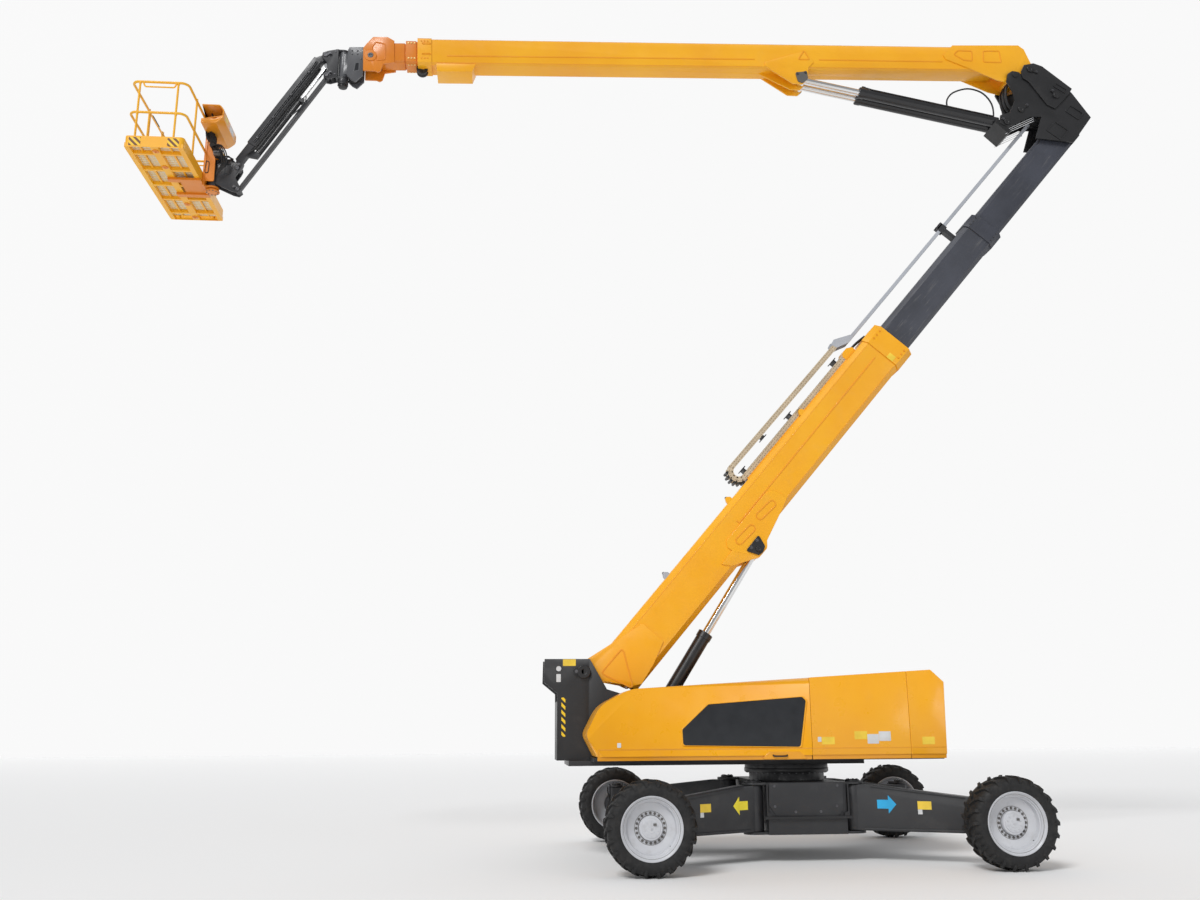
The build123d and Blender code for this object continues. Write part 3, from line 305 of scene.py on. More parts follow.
towerTilt, liftTilt, luffTilt, jibTilt = (math.radians(turn) for turn in (49.5, 57.0, -12.0, 58.7))
looks = {
    "machineYellow": (paint, (0.93, 0.43, 0.008), (0.89, 0.37, 0.006), 0.3, 0.3, 0.06),
    "boomYellow": (paint, (0.95, 0.46, 0.010), (0.90, 0.39, 0.007), 0.34, 0.2, 0.08),
    "noseOrange": (paint, (0.76, 0.24, 0.010), (0.68, 0.19, 0.007), 0.36, 0.2, 0.10),
    "basketYellow": (paint, (0.94, 0.44, 0.010), (0.95, 0.52, 0.016), 0.36, 0.2, 0.06),
    "chassisGrey": (paint, (0.020, 0.0205, 0.023), (0.031, 0.0315, 0.034), 0.46, 0.1, 0.22,
                         (0.13, 0.12, 0.11)),
    "frameBlack": (paint, (0.010, 0.010, 0.011), (0.017, 0.017, 0.019), 0.42, 0.12, 0.2,
                        (0.10, 0.095, 0.09)),
    "jibGrey": (paint, (0.030, 0.0305, 0.034), (0.044, 0.045, 0.049), 0.42, 0.12, 0.18, (0.10, 0.095, 0.09)),
    "cylinderBlack": (paint, (0.010, 0.010, 0.0115), (0.018, 0.018, 0.020), 0.3, 0.3, 0.15,
                   (0.09, 0.085, 0.08)),
    "sectionGrey": (greasedSteel, (0.035, 0.038, 0.050), (0.30, 0.29, 0.27), (0, towerTilt, 0)),
    "liftChrome": (chrome, (0, liftTilt, 0)),
    "luffChrome": (chrome, (0, luffTilt, 0)),
    "jibChrome": (chrome, (0, jibTilt, 0)),
    "tyreRubber": (tyreRubber,),
    "rimWhite": (rimPaint,),
    "chainTan": (plastic, (0.60, 0.49, 0.34), 120.0, 0.55),
    "blackPlastic": (plastic, (0.016, 0.016, 0.018), 60.0, 0.42),
    "hoseRubber": (plastic, (0.012, 0.012, 0.013), 200.0, 0.55),
    "boltSteel": (steel, (0.16, 0.16, 0.17), 0.45),
    "engineIron": (plastic, (0.06, 0.06, 0.065), 30.0, 0.6),
    "headGrey": (paint, (0.085, 0.088, 0.096), (0.065, 0.067, 0.074), 0.4, 0.15, 0.25, (0.18, 0.17, 0.16)),
    "meshCream": (paint, (0.80, 0.76, 0.62), (0.70, 0.64, 0.48), 0.5, 0.05, 0.3, (0.5, 0.42, 0.3)),
    "consoleOrange": (paint, (0.86, 0.36, 0.02), (0.80, 0.30, 0.015), 0.34, 0.3, 0.1),
    # a darker orange: painted shade on the hood's downward lips and in the latch recess
    "lipOrange": (paint, (0.84, 0.36, 0.012), (0.78, 0.31, 0.01), 0.34, 0.3, 0.1),
    "windowBlack": (plastic, (0.022, 0.024, 0.028), 8.0, 0.16),
    "labelWhite": (plastic, (0.72, 0.73, 0.74), 40.0, 0.4),
    "labelYellow": (plastic, (0.95, 0.66, 0.06), 40.0, 0.4),
    "arrowYellow": (plastic, (0.95, 0.78, 0.05), 40.0, 0.4),
    "arrowBlue": (plastic, (0.02, 0.42, 0.78), 40.0, 0.4),
    # a darker yellow: painted shade on the fold lines and pressed outlines; the collar bolts use it too
    "creaseYellow": (paint, (0.88, 0.36, 0.008), (0.82, 0.31, 0.006), 0.38, 0.2, 0.10),
    "boltPale": (steel, (0.92, 0.72, 0.34), 0.4),
    "chainPin": (plastic, (0.20, 0.13, 0.07), 60.0, 0.5),
    "pipeWhite": (plastic, (0.80, 0.81, 0.82), 60.0, 0.4),
    "keeperGrey": (paint, (0.10, 0.095, 0.09), (0.15, 0.14, 0.13), 0.5, 0.1, 0.3),
    "pipeBlack": (plastic, (0.045, 0.046, 0.050), 60.0, 0.35),
    "stopRed": (plastic, (0.60, 0.015, 0.010), 60.0, 0.35),
    "wireYellow": (paint, (0.90, 0.62, 0.16), (0.86, 0.56, 0.12), 0.4, 0.1, 0.15),
    "conduitGrey": (paint, (0.46, 0.48, 0.52), (0.38, 0.40, 0.44), 0.4, 0.15, 0.2),
    "hazardSide": (hazardStripes, "X", 0.050, (0.93, 0.62, 0.02), (0.02, 0.02, 0.02)),
    "hazardEnd": (hazardStripes, "Y", 0.075, (0.93, 0.62, 0.02), (0.02, 0.02, 0.02)),
    "hazardBoard": (hazardStripes, "X", 0.048, (0.95, 0.60, 0.02), (0.16, 0.05, 0.006)),
}
finish = {name: make(name, *values) for name, (make, *values) in looks.items()}
print("finishes ready:", len(finish))


# angles, depths and circles that many pieces share
def turns(count):
    return (2 * math.pi * k / count for k in range(count))


def rect(a0, b0, a1, b1):
    return [(a0, b0), (a1, b0), (a1, b1), (a0, b1)]


def span(way, near, far):
    # a depth on either side of the middle plane, low end first
    return sorted((way * near, way * far))


def around(centre, facing, radius, count, first=(1, 0, 0), second=(0, 1, 0)):
    # a circle of bolts: where each stands and the way its head faces
    first, second = Vector(first) * radius, Vector(second) * radius
    return [(Vector(centre) + first * math.cos(t) + second * math.sin(t), tuple(facing))
            for t in turns(count)]


# places: the side view of the machine and of each boom, in metres
def sideFrame(x, z, degrees, upward=1):
    turn = math.radians(degrees)
    along = Vector((math.cos(turn), 0, math.sin(turn)))
    across = Vector((-math.sin(turn), 0, math.cos(turn))) * upward
    foot = Vector((x, 0, z))
    return lambda a, b=0.0, y=0.0: foot + along * a + across * b + Vector((0, y, 0))


onSide = sideFrame(0, 0, 0)
onTower = sideFrame(-2.990, 2.567, 49.5)
onBoom = sideFrame(4.550, 12.710, 182.0, -1)
onJib = sideFrame(-7.220, 12.620, 238.7, -1)
onLink = sideFrame(-7.190, 12.250, 238.7, -1)


def rounded(outline, radius, steps=5):
    # the same outline with each corner turned into an arc; radius may be one value or one for each corner
    result = []
    for i, corner in enumerate(outline):
        r = radius[i] if isinstance(radius, (list, tuple)) else radius
        here = Vector(corner)
        back, ahead = Vector(outline[i - 1]) - here, Vector(outline[(i + 1) % len(outline)]) - here
        half = back.angle(ahead) / 2
        reach = min(r / math.tan(half), back.length * 0.48, ahead.length * 0.48) if r else 0
        if reach < 1e-5:
            result.append(tuple(here))
            continue
        start, end = here + back.normalized() * reach, here + ahead.normalized() * reach
        for k in range(steps + 1):
            t = k / steps
            result.append(tuple(start * (1 - t) ** 2 + here * 2 * t * (1 - t) + end * t ** 2))
    return result


def stadium(a, b, length, width, degrees=0.0, steps=8):
    # a slot shape with round ends, centred at a, b
    turn, half, r = math.radians(degrees), (length - width) / 2, width / 2
    points = [(half + r * math.cos(t), r * math.sin(t)) for t in
              (math.pi * (k / steps - 0.5) for k in range(steps + 1))]
    points += [(-x, -y) for x, y in points]
    return [(a + x * math.cos(turn) - y * math.sin(turn), b + x * math.sin(turn) + y * math.cos(turn))
            for x, y in points]


def circle(a, b, radius, count=28):
    return [(a + radius * math.cos(t), b + radius * math.sin(t)) for t in turns(count)]


def plainMesh(thing, name):
    # what the modifiers give, as a new object without them
    bpy.context.view_layer.update()
    mesh = bpy.data.meshes.new_from_object(thing.evaluated_get(bpy.context.evaluated_depsgraph_get()))
    bpy.data.objects.remove(thing)
    mesh.name = name
    return placed(name, mesh)


def meshOf(bm, name, look=None):
    mesh = bpy.data.meshes.new(name)
    bm.to_mesh(mesh)
    bm.free()
    if look:
        mesh.materials.append(finish[look])
        mesh.shade_smooth()
    return mesh


def softenEdges(thing, name, width, angle=32.0):
    bevel = thing.modifiers.new("softEdge", "BEVEL")
    bevel.width, bevel.segments, bevel.limit_method = width, 2, "ANGLE"
    bevel.angle_limit, bevel.harden_normals = math.radians(angle), True
    bevel.use_clamp_overlap = True
    return plainMesh(thing, name)


class Shape:
    # closed forms gathered into one mesh; place turns a side view point and its depth into metres
    def __init__(self, place=onSide):
        self.bm, self.place = bmesh.new(), place

    def prism(self, outline, low, high, place=None):
        place = place or self.place
        near, far = [[self.bm.verts.new(place(a, b, y)) for a, b in outline] for y in (low, high)]
        self.bm.faces.new(near)
        self.bm.faces.new(far[::-1])
        for i, corner in enumerate(near):
            after = (i + 1) % len(near)
            self.bm.faces.new((corner, far[i], far[after], near[after]))
        return self

    def both(self, outline, low, high):
        return self.prism(outline, low, high).prism(outline, -high, -low)

    def frameOf(self, outer, inner, low, high):
        # a raised rim between two outlines with the same number of points
        rings = [[self.bm.verts.new(self.place(a, b, y)) for a, b in outline]
                 for outline, y in ((outer, low), (outer, high), (inner, high), (inner, low))]
        for k in range(4):
            first, second = rings[k], rings[(k + 1) % 4]
            for i in range(len(first)):
                after = (i + 1) % len(first)
                self.bm.faces.new((first[i], first[after], second[after], second[i]))
        return self

    def box(self, low, high):
        (x0, y0, z0), (x1, y1, z1) = low, high
        return self.prism(rect(x0, z0, x1, z1), y0, y1, onSide)

    def lathe(self, start, axis, profile, sides=32):
        # profile: distance along the axis and radius; a zero radius closes the end to a point
        axis = Vector(axis).normalized()
        first = axis.orthogonal().normalized()
        second = axis.cross(first)
        spokes = [first * math.cos(t) + second * math.sin(t) for t in turns(sides)]
        rings = []
        for along, radius in profile:
            middle = Vector(start) + axis * along
            rings.append([self.bm.verts.new(middle + way * radius)
                          for way in (spokes if radius >= 1e-6 else [Vector()])])
        for lower, upper in zip(rings, rings[1:]):
            for k in range(sides):
                after = (k + 1) % sides
                corner = [lower[k % len(lower)], lower[after % len(lower)], upper[after % len(upper)],
                          upper[k % len(upper)]]
                self.bm.faces.new(list(dict.fromkeys(corner)))
        for ring in (rings[0], rings[-1]):
            if len(ring) > 1:
                self.bm.faces.new(ring)
        return self

    def openEnds(self):
        # takes away the round faces that close a turned form
        wide = [face for face in self.bm.faces if len(face.verts) > 8]
        bmesh.ops.delete(self.bm, geom=wide, context="FACES")
        return self

    def mesh(self, name, look=None):
        bmesh.ops.recalc_face_normals(self.bm, faces=self.bm.faces)
        return meshOf(self.bm, name, look)

    def done(self, name, body, look, soft=0.0, smooth=35.0):
        thing = placed(name, self.mesh(name, look))
        if soft:
            thing = softenEdges(thing, name, soft)
        else:
            thing.data.set_sharp_from_angle(angle=math.radians(smooth))
        return ride(thing, body)


def ride(thing, body):
    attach(thing, body)
    return thing


# geometry nodes: one small kit, and a tree for each thing that repeats
class Tree:
    def __init__(self, name, **inputs):
        self.tree = bpy.data.node_groups.new(name, "GeometryNodeTree")
        self.tree.interface.new_socket("Geometry", in_out="INPUT", socket_type="NodeSocketGeometry")
        kinds = {float: "NodeSocketFloat", int: "NodeSocketInt", Vector: "NodeSocketVector",
                 str: "NodeSocketMaterial"}
        for key, value in inputs.items():
            socket = self.tree.interface.new_socket(key, in_out="INPUT", socket_type=kinds[type(value)])
            if not isinstance(value, str):
                socket.default_value = value
        self.tree.interface.new_socket("Geometry", in_out="OUTPUT", socket_type="NodeSocketGeometry")
        self.inputs = self.tree.nodes.new("NodeGroupInput").outputs
        self.output = self.tree.nodes.new("NodeGroupOutput")

    def add(self, kind, wires=None, **values):
        node = self.tree.nodes.new(kind)
        for key, value in values.items():
            setattr(node, key, value)
        for key, value in (wires or {}).items():
            if isinstance(value, bpy.types.NodeSocket):
                self.tree.links.new(value, node.inputs[key])
            else:
                node.inputs[key].default_value = value
        return node

    def even(self, line, spacing):
        # the line again with points at one spacing
        return self.add("GeometryNodeResampleCurve", {0: line.outputs[0], "Length": spacing}, mode="LENGTH")

    def tube(self, line):
        ring = self.add("GeometryNodeCurvePrimitiveCircle",
                        {"Resolution": self.inputs["Sides"], "Radius": self.inputs["Radius"]})
        pipe = self.add("GeometryNodeCurveToMesh", {0: line.outputs[0], 1: ring.outputs[0],
                                                    "Fill Caps": True})
        smooth = self.add("GeometryNodeSetShadeSmooth", {0: pipe.outputs[0]})
        return self.close(smooth.outputs[0])

    def close(self, geometry):
        # every tree ends the same way
        real = self.add("GeometryNodeRealizeInstances", {0: geometry})
        painted = self.add("GeometryNodeSetMaterial", {0: real.outputs[0],
                                                       "Material": self.inputs["Material"]})
        self.tree.links.new(painted.outputs[0], self.output.inputs[0])
        return self.tree


def grow(name, tree, body, base, **values):
    # runs a tree on a base mesh and keeps the plain result; inputs are set by their identifiers
    thing = placed(name, base)
    grown = thing.modifiers.new(name, "NODES")
    grown.node_group = tree
    identifiers = {item.name: item.identifier for item in tree.interface.items_tree if item.in_out == "INPUT"}
    for key, value in values.items():
        grown[identifiers[key]] = value
    return ride(plainMesh(thing, name), body)


def boltTree():
    # points carry the way they face in the attribute facing
    t = Tree("boltHeads", **{"Head Radius": 0.02, "Head Height": 0.014, "Washer Radius": 0.03, "Sides": 6,
                             "Material": ""})
    facing = t.add("GeometryNodeInputNamedAttribute", {"Name": "facing"}, data_type="FLOAT_VECTOR")
    turn = t.add("FunctionNodeAlignRotationToVector", {"Vector": facing.outputs[0]}, axis="Z")
    head = t.add("GeometryNodeMeshCylinder", {"Vertices": t.inputs["Sides"],
                                              "Radius": t.inputs["Head Radius"],
                                              "Depth": t.inputs["Head Height"]})
    lift = t.add("ShaderNodeVectorMath", {0: (0, 0, 0.5)}, operation="SCALE")
    t.tree.links.new(t.inputs["Head Height"], lift.inputs["Scale"])
    raised = t.add("GeometryNodeTransform", {0: head.outputs[0], "Translation": lift.outputs[0]})
    washer = t.add("GeometryNodeMeshCylinder", {"Vertices": 20, "Radius": t.inputs["Washer Radius"],
                                                "Depth": 0.008})
    both = t.add("GeometryNodeJoinGeometry")
    t.tree.links.new(raised.outputs[0], both.inputs[0])
    t.tree.links.new(washer.outputs[0], both.inputs[0])
    points = t.add("GeometryNodeMeshToPoints", {0: t.inputs["Geometry"]})
    copies = t.add("GeometryNodeInstanceOnPoints", {"Points": points.outputs[0], "Instance": both.outputs[0],
                                                    "Rotation": turn.outputs[0]})
    return t.close(copies.outputs[0])


def hoseTree():
    # a smooth line through each chain of points, given a round section
    t = Tree("hoseRuns", **{"Radius": 0.02, "Sides": 10, "Spacing": 0.06, "Material": ""})
    line = t.add("GeometryNodeMeshToCurve", {0: t.inputs["Geometry"]})
    kind = t.add("GeometryNodeCurveSplineType", {0: line.outputs[0]}, spline_type="CATMULL_ROM")
    return t.tube(t.even(kind, t.inputs["Spacing"]))


def railTree():
    # straight runs with bent corners
    t = Tree("bentTubes", **{"Radius": 0.02, "Sides": 14, "Bend": 0.1, "Material": ""})
    line = t.add("GeometryNodeMeshToCurve", {0: t.inputs["Geometry"]})
    return t.tube(t.add("GeometryNodeFilletCurve", {0: line.outputs[0], "Radius": t.inputs["Bend"],
                                                    "Limit Radius": True, "Count": 8}, mode="POLY"))


def ringTree():
    # copies of the base mesh, drawn at angle zero about the Y axis, turned round a wheel
    t = Tree("wheelRing", **{"Count": 20, "Centre": Vector((0, 0, 0)), "Start": 0.0, "Material": ""})
    line = t.add("GeometryNodePoints", {"Count": t.inputs["Count"], "Position": t.inputs["Centre"]})
    index = t.add("GeometryNodeInputIndex")
    share = t.add("ShaderNodeMath", {0: index.outputs[0], 1: t.inputs["Count"]}, operation="DIVIDE")
    turn = t.add("ShaderNodeMath", {0: share.outputs[0], 1: 2 * math.pi, 2: t.inputs["Start"]},
                 operation="MULTIPLY_ADD")
    angles = t.add("ShaderNodeCombineXYZ", {"Y": turn.outputs[0]})
    copies = t.add("GeometryNodeInstanceOnPoints", {"Points": line.outputs[0],
                                                    "Instance": t.inputs["Geometry"],
                                                    "Rotation": angles.outputs[0]})
    return t.close(copies.outputs[0])


boltHeads, hoseRuns, bentTubes, wheelRing = boltTree(), hoseTree(), railTree(), ringTree()


def chains(name, runs):
    # a mesh of open chains of points, one for each run
    mesh = bpy.data.meshes.new(name)
    points, edges = [], []
    for run in runs:
        edges += [(len(points) + k, len(points) + k + 1) for k in range(len(run) - 1)]
        points += [tuple(p) for p in run]
    mesh.from_pydata(points, edges, [])
    return mesh


def bolts(name, body, spots, radius, height, look="boltSteel"):
    # spots: place and the way the head faces
    mesh = bpy.data.meshes.new(name)
    mesh.from_pydata([tuple(p) for p, _ in spots], [], [])
    facing = mesh.attributes.new("facing", "FLOAT_VECTOR", "POINT")
    for i, (_, way) in enumerate(spots):
        facing.data[i].vector = way
    return grow(name, boltHeads, body, mesh, **{"Head Radius": radius, "Head Height": height, "Sides": 6,
                                                "Washer Radius": radius * 1.45, "Material": finish[look]})


def hoses(name, body, runs, radius=0.018, look="hoseRubber", spacing=0.06, sides=10):
    return grow(name, hoseRuns, body, chains(name, runs), Radius=radius, Sides=sides, Spacing=spacing,
                Material=finish[look])


def tubes(name, body, runs, radius, look, bend, sides):
    return grow(name, bentTubes, body, chains(name, runs), Radius=radius, Sides=sides, Bend=bend,
                Material=finish[look])


print("geometry node trees ready")


# CAD nodes: a finish for each, and softened edges where the plates are large
nodeLook = {
    "chassis_frame": "chassisGrey", "turntable_frame": "frameBlack", "hood_centre": "machineYellow",
    "counterweight": "machineYellow", "engine": "engineIron", "tower_base": "boomYellow",
    "lift_rod": "liftChrome", "lift_barrel": "cylinderBlack", "tower_mid": "sectionGrey",
    "tower_fly": "sectionGrey", "elbow": "frameBlack", "elbow_link": "frameBlack", "boom_base": "boomYellow",
    "luff_rods": "luffChrome", "luff_barrels": "cylinderBlack", "boom_stage_one": "noseOrange",
    "boom_nose": "noseOrange", "level_pin": "boltSteel", "jib_head": "headGrey", "jib_bracket": "jibGrey",
    "jib_arm": "jibGrey", "jib_barrel": "frameBlack", "jib_rod": "jibChrome", "jib_link": "jibGrey",
    "jib_end": "jibGrey", "basket_support": "noseOrange", "basket_frame": "basketYellow",
    "basket_gate": "basketYellow", "basket_floor": "meshCream", "console": "consoleOrange",
    "energy_chain": "chainTan", "hood_cover_left": "machineYellow", "hood_cover_right": "machineYellow",
}
softNodes = {
    "chassis_frame": 0.006, "turntable_frame": 0.006, "hood_centre": 0.03, "counterweight": 0.03,
    "tower_base": 0.008, "tower_mid": 0.008, "tower_fly": 0.006, "elbow": 0.008, "elbow_link": 0.006,
    "boom_base": 0.006, "boom_stage_one": 0.006, "boom_nose": 0.006, "jib_head": 0.005, "jib_bracket": 0.005,
    "jib_arm": 0.006, "jib_end": 0.005, "basket_support": 0.006, "console": 0.02,
}
for corner, _, _ in corners:
    nodeLook.update({"axle_arm_" + corner: "chassisGrey", "knuckle_" + corner: "chassisGrey",
                     "rim_" + corner: "rimWhite", "tyre_" + corner: "tyreRubber"})
    softNodes.update({"axle_arm_" + corner: 0.008, "knuckle_" + corner: 0.005})
for node, thing in nodes.items():
    thing.data.materials.clear()
    thing.data.materials.append(finish[nodeLook[node]])


def bodyOf(node):
    return nodes[node]["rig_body"]


def softened(node, width):
    # a copy of the CAD plate with its edges broken
    bm = bmesh.new()
    bm.from_mesh(nodes[node].data)
    bmesh.ops.remove_doubles(bm, verts=bm.verts, dist=0.0001)
    bmesh.ops.dissolve_limit(bm, angle_limit=math.radians(1.0), verts=bm.verts, edges=bm.edges)
    name = node + "_soft"
    thing = softenEdges(placed(name, meshOf(bm, name, nodeLook[node])), name, width, angle=30.0)
    ride(thing, bodyOf(node))
    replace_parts(thing, node)


for node, width in softNodes.items():
    softened(node, width)
print("CAD nodes finished:", len(nodes), "of which softened:", len(softNodes))

# hood covers
hood = {
    "low": 1.400, "lip": 1.345, "bandTop": 1.500, "outside": 1.245, "inside": 0.4003, "wall": 0.018,
    "crown": 0.085, "seam": 0.067, "seams": (0.070, 1.460), "edge": 0.006,
    "foot": -2.880, "front": -3.030, "chin": 1.690, "brow": (-2.835, 2.075),
    "bends": [0, 0.14, 0.45, 0.50, 0],
    "crestX": -2.420, "crestZ": 2.290, "rearX": 1.810, "rearZ": 2.540,
}


def roofAt(x):
    rise = (hood["rearZ"] - hood["crestZ"]) / (hood["rearX"] - hood["crestX"])
    return hood["crestZ"] + rise * (x - hood["crestX"])


def hoodCover(name, way, node):
    # a skin drawn in the side view, rounded over towards the roof and the nose, then given its wall
    nose = rounded([(hood["foot"], hood["low"]), (hood["front"], hood["chin"]), hood["brow"],
                    (hood["crestX"], hood["crestZ"]), (hood["seam"], roofAt(hood["seam"]))], hood["bends"], 8)
    outline = nose + [(hood["seam"], hood["low"])]
    bm = bmesh.new()
    outer = [bm.verts.new((x, way * hood["outside"], z)) for x, z in outline]
    inner = [bm.verts.new((x, way * hood["inside"], z)) for x, z in outline]
    bm.faces.new(outer)
    crown = []
    for k in range(len(outline) - 1):
        bm.faces.new((outer[k], inner[k], inner[k + 1], outer[k + 1]))
        if k < len(nose) - 1:
            crown.append(bm.edges.get((outer[k], outer[k + 1])))
    bmesh.ops.bevel(bm, geom=crown, offset=hood["crown"], segments=6, profile=0.5, affect="EDGES")
    bmesh.ops.recalc_face_normals(bm, faces=bm.faces)
    side = max(bm.faces, key=lambda f: f.calc_area())
    if side.normal.y * way < 0 and abs(side.normal.y) > 0.9:
        bmesh.ops.reverse_faces(bm, faces=bm.faces)
    thing = placed(name, meshOf(bm, name, "machineYellow"))
    wall = thing.modifiers.new("wall", "SOLIDIFY")
    wall.thickness, wall.offset = hood["wall"], -1.0
    thing = softenEdges(thing, name, hood["edge"], angle=30.0)
    ride(thing, bodyOf(node))
    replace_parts(thing, node)


for side, way in (("left", -1), ("right", 1)):
    hoodCover("hood_cover_skin_" + side, way, "hood_cover_" + side)

trim = {
    "panel": [(-1.739, 1.747), (-1.730, 1.534), (-0.075, 1.500), (0.030, 2.130), (-0.023, 2.184),
              (-1.372, 2.089)],
    "panelCorner": 0.045,
    "panelRim": 0.022,
    "recess": [(-0.640, 1.352), (-0.530, 1.452), (-0.105, 1.448), (0.005, 1.352)],
    "handle": (-0.479, -0.287, 1.392),
    "lips": [(-2.872, 0.065), (0.075, 1.455), (1.463, 1.955)],
    "labels": [  # body, x and z of two corners, look
        ("hood_cover", -2.607, 1.518, -2.555, 1.579, "labelWhite"),
        ("turntable", 0.150, 1.575, 0.200, 1.640, "labelWhite"),
        ("turntable", 0.205, 1.540, 0.385, 1.640, "labelYellow"),
        ("turntable", 0.666, 1.605, 0.846, 1.712, "labelYellow"),
        ("turntable", 0.846, 1.545, 1.005, 1.672, "labelWhite"),
        ("turntable", 1.008, 1.580, 1.176, 1.708, "labelWhite"),
        ("turntable", 1.619, 1.530, 1.795, 1.632, "labelYellow"),
    ],
}


def label(name, body, x0, z0, x1, z1, y, way, look):
    outline = rounded(rect(x0, z0, x1, z1), 0.008, 3)
    Shape().prism(outline, *span(way, y, y + 0.0025)).done(name, body, look)


for side, way in (("left", -1), ("right", 1)):
    body = "hood_cover_" + side
    face = hood["outside"]
    outer = rounded(trim["panel"], trim["panelCorner"], 5)
    middle = Vector((sum(a for a, _ in outer) / len(outer), sum(b for _, b in outer) / len(outer)))
    shrink = [tuple(Vector(p) + (middle - Vector(p)).normalized() * trim["panelRim"]) for p in outer]
    Shape().prism(shrink, *span(way, face - 0.004, face + 0.002)) \
        .done("hood_window_" + side, body, "windowBlack")
    Shape().frameOf(outer, shrink, *span(way, face - 0.002, face + 0.009)) \
        .done("hood_window_rim_" + side, body, "machineYellow", 0.004)
    # the folded lip along the foot of each cover, painted darker than the side: painted shade for its
    # downward face
    for part, x0, x1, rides in (("cover", *trim["lips"][0], body), ("centre", *trim["lips"][1], "turntable"),
                                ("tail", *trim["lips"][2], "turntable")):
        section = [(hood["bandTop"], face + 0.003), (hood["lip"], face - 0.022), (hood["lip"], face - 0.040),
                   (hood["bandTop"], face - 0.012)]
        Shape(lambda z, y, x: Vector((x, way * y, z))).prism(section, x0, x1) \
            .done(f"hood_lip_{part}_{side}", rides, "lipOrange", 0.004)
    # the latch recess as a plate in the darker orange: painted shade in the recess
    recess = rounded(trim["recess"], 0.02, 4)
    Shape().prism(recess, *span(way, face - 0.03, face + 0.004)) \
        .done("hood_latch_plate_" + side, body, "lipOrange", 0.004)
    x0, x1, z = trim["handle"]
    line = [(x0, 0.001, z + 0.012), (x0 + 0.02, 0.03, z), (x1 - 0.02, 0.03, z), (x1, 0.001, z + 0.012)]
    hoses("hood_handle_" + side, body, [[(a, way * (face + out), b) for a, out, b in line]], 0.011,
          "blackPlastic", 0.02)
    for k, (part, lx0, z0, lx1, z1, look) in enumerate(trim["labels"]):
        label(f"hood_label_{k}_{side}", body if part == "hood_cover" else part, lx0, z0, lx1, z1,
              face, way, look)
    # shut line strips that show the seams as dark gaps
    for k, x in enumerate(hood["seams"]):
        top = roofAt(x) - 0.05
        strip = rect(x - 0.004, hood["low"], x + 0.004, top)
        Shape().prism(strip, *span(way, face - 0.03, face - 0.012)) \
            .done(f"hood_seam_{k}_{side}", "turntable", "frameBlack")
print("hoods dressed")

# wheels
wheel = {
    "hubHeight": 0.5775, "halfTrack": 2.25, "base": 2.311,
    "tread": 0.548, "radius": 0.5775, "bead": 0.3885, "halfWidth": 0.2225,
    "lugs": 22, "lugSweep": 0.16, "sides": 72, "disc": 0.0535, "cap": 0.119, "capTop": 0.130,
    "bolts": (20, 0.178, 0.0115), "capBolts": (10, 0.088, 0.007), "valve": (0.235, 0.085, -0.215),
    "grooveShade": [(0.2055, 0.3745, 0.0030), (0.1885, 0.3540, 0.0035), (0.1460, 0.3330, 0.0045),
                (0.0560, 0.2010, 0.0030), (0.0550, 0.1530, 0.0040)],
}


def tyreBody(corner, centre):
    # tread, rounded shoulder, bulged side wall and bead, turned about the axle
    half, bead, tread = wheel["halfWidth"], wheel["bead"], wheel["tread"]
    outer = [(-half + 0.050, bead - 0.027), (-half + 0.030, bead), (-half + 0.012, bead + 0.002),
             (-half + 0.006, bead + 0.028), (-half - 0.0015, bead + 0.055), (-half, bead + 0.085),
             (-half + 0.010, bead + 0.115), (-half + 0.032, tread - 0.020), (-half + 0.058, tread - 0.004),
             (-half + 0.10, tread)]
    profile = outer + [(0, tread + 0.003)] + [(-a, r) for a, r in reversed(outer)]
    # the inner wall closes the ring instead of two caps
    shape = Shape().lathe(centre, (0, 1, 0), profile, wheel["sides"]).openEnds()
    bmesh.ops.bridge_loops(shape.bm, edges=[e for e in shape.bm.edges if e.is_boundary])
    return shape.done("tyre_carcass_" + corner, "wheel_" + corner, "tyreRubber", smooth=60)


def lugShape(hand):
    # one bent bar from the tread's middle, over the shoulder and a little down the side wall
    lug = Shape()
    half, top, sweep = wheel["halfWidth"], wheel["radius"], wheel["lugSweep"]
    stations = [  # across, radius outside, radius inside, angle round the wheel, half width
        (0.012, top - 0.001, wheel["tread"] - 0.006, 0.0, 0.024),
        (0.085, top, wheel["tread"] - 0.006, sweep * 0.50, 0.023),
        (0.150, top - 0.003, wheel["tread"] - 0.012, sweep * 0.86, 0.024),
        (half - 0.026, top - 0.016, wheel["tread"] - 0.030, sweep, 0.026),
        (half - 0.004, top - 0.044, wheel["tread"] - 0.058, sweep * 1.02, 0.025),
        (half + 0.001, top - 0.085, wheel["tread"] - 0.085, sweep * 1.02, 0.016),
    ]
    rings = []
    for across, outside, inside, angle, width in stations:
        ring = []
        for radius, turn, share in ((inside, -1, 1.0), (outside, -1, 0.78), (outside, 1, 0.78),
                                    (inside, 1, 1.0)):
            a = angle + turn * width * share / outside
            y = hand * across if radius == outside or across < half - 0.03 else hand * (across - 0.02)
            ring.append(lug.bm.verts.new((radius * math.sin(a), y, radius * math.cos(a))))
        rings.append(ring)
    for first, second in zip(rings, rings[1:]):
        for k in range(4):
            lug.bm.faces.new((first[k], first[(k + 1) % 4], second[(k + 1) % 4], second[k]))
    lug.bm.faces.new(rings[0])
    lug.bm.faces.new(rings[-1][::-1])
    return lug.mesh("lug")


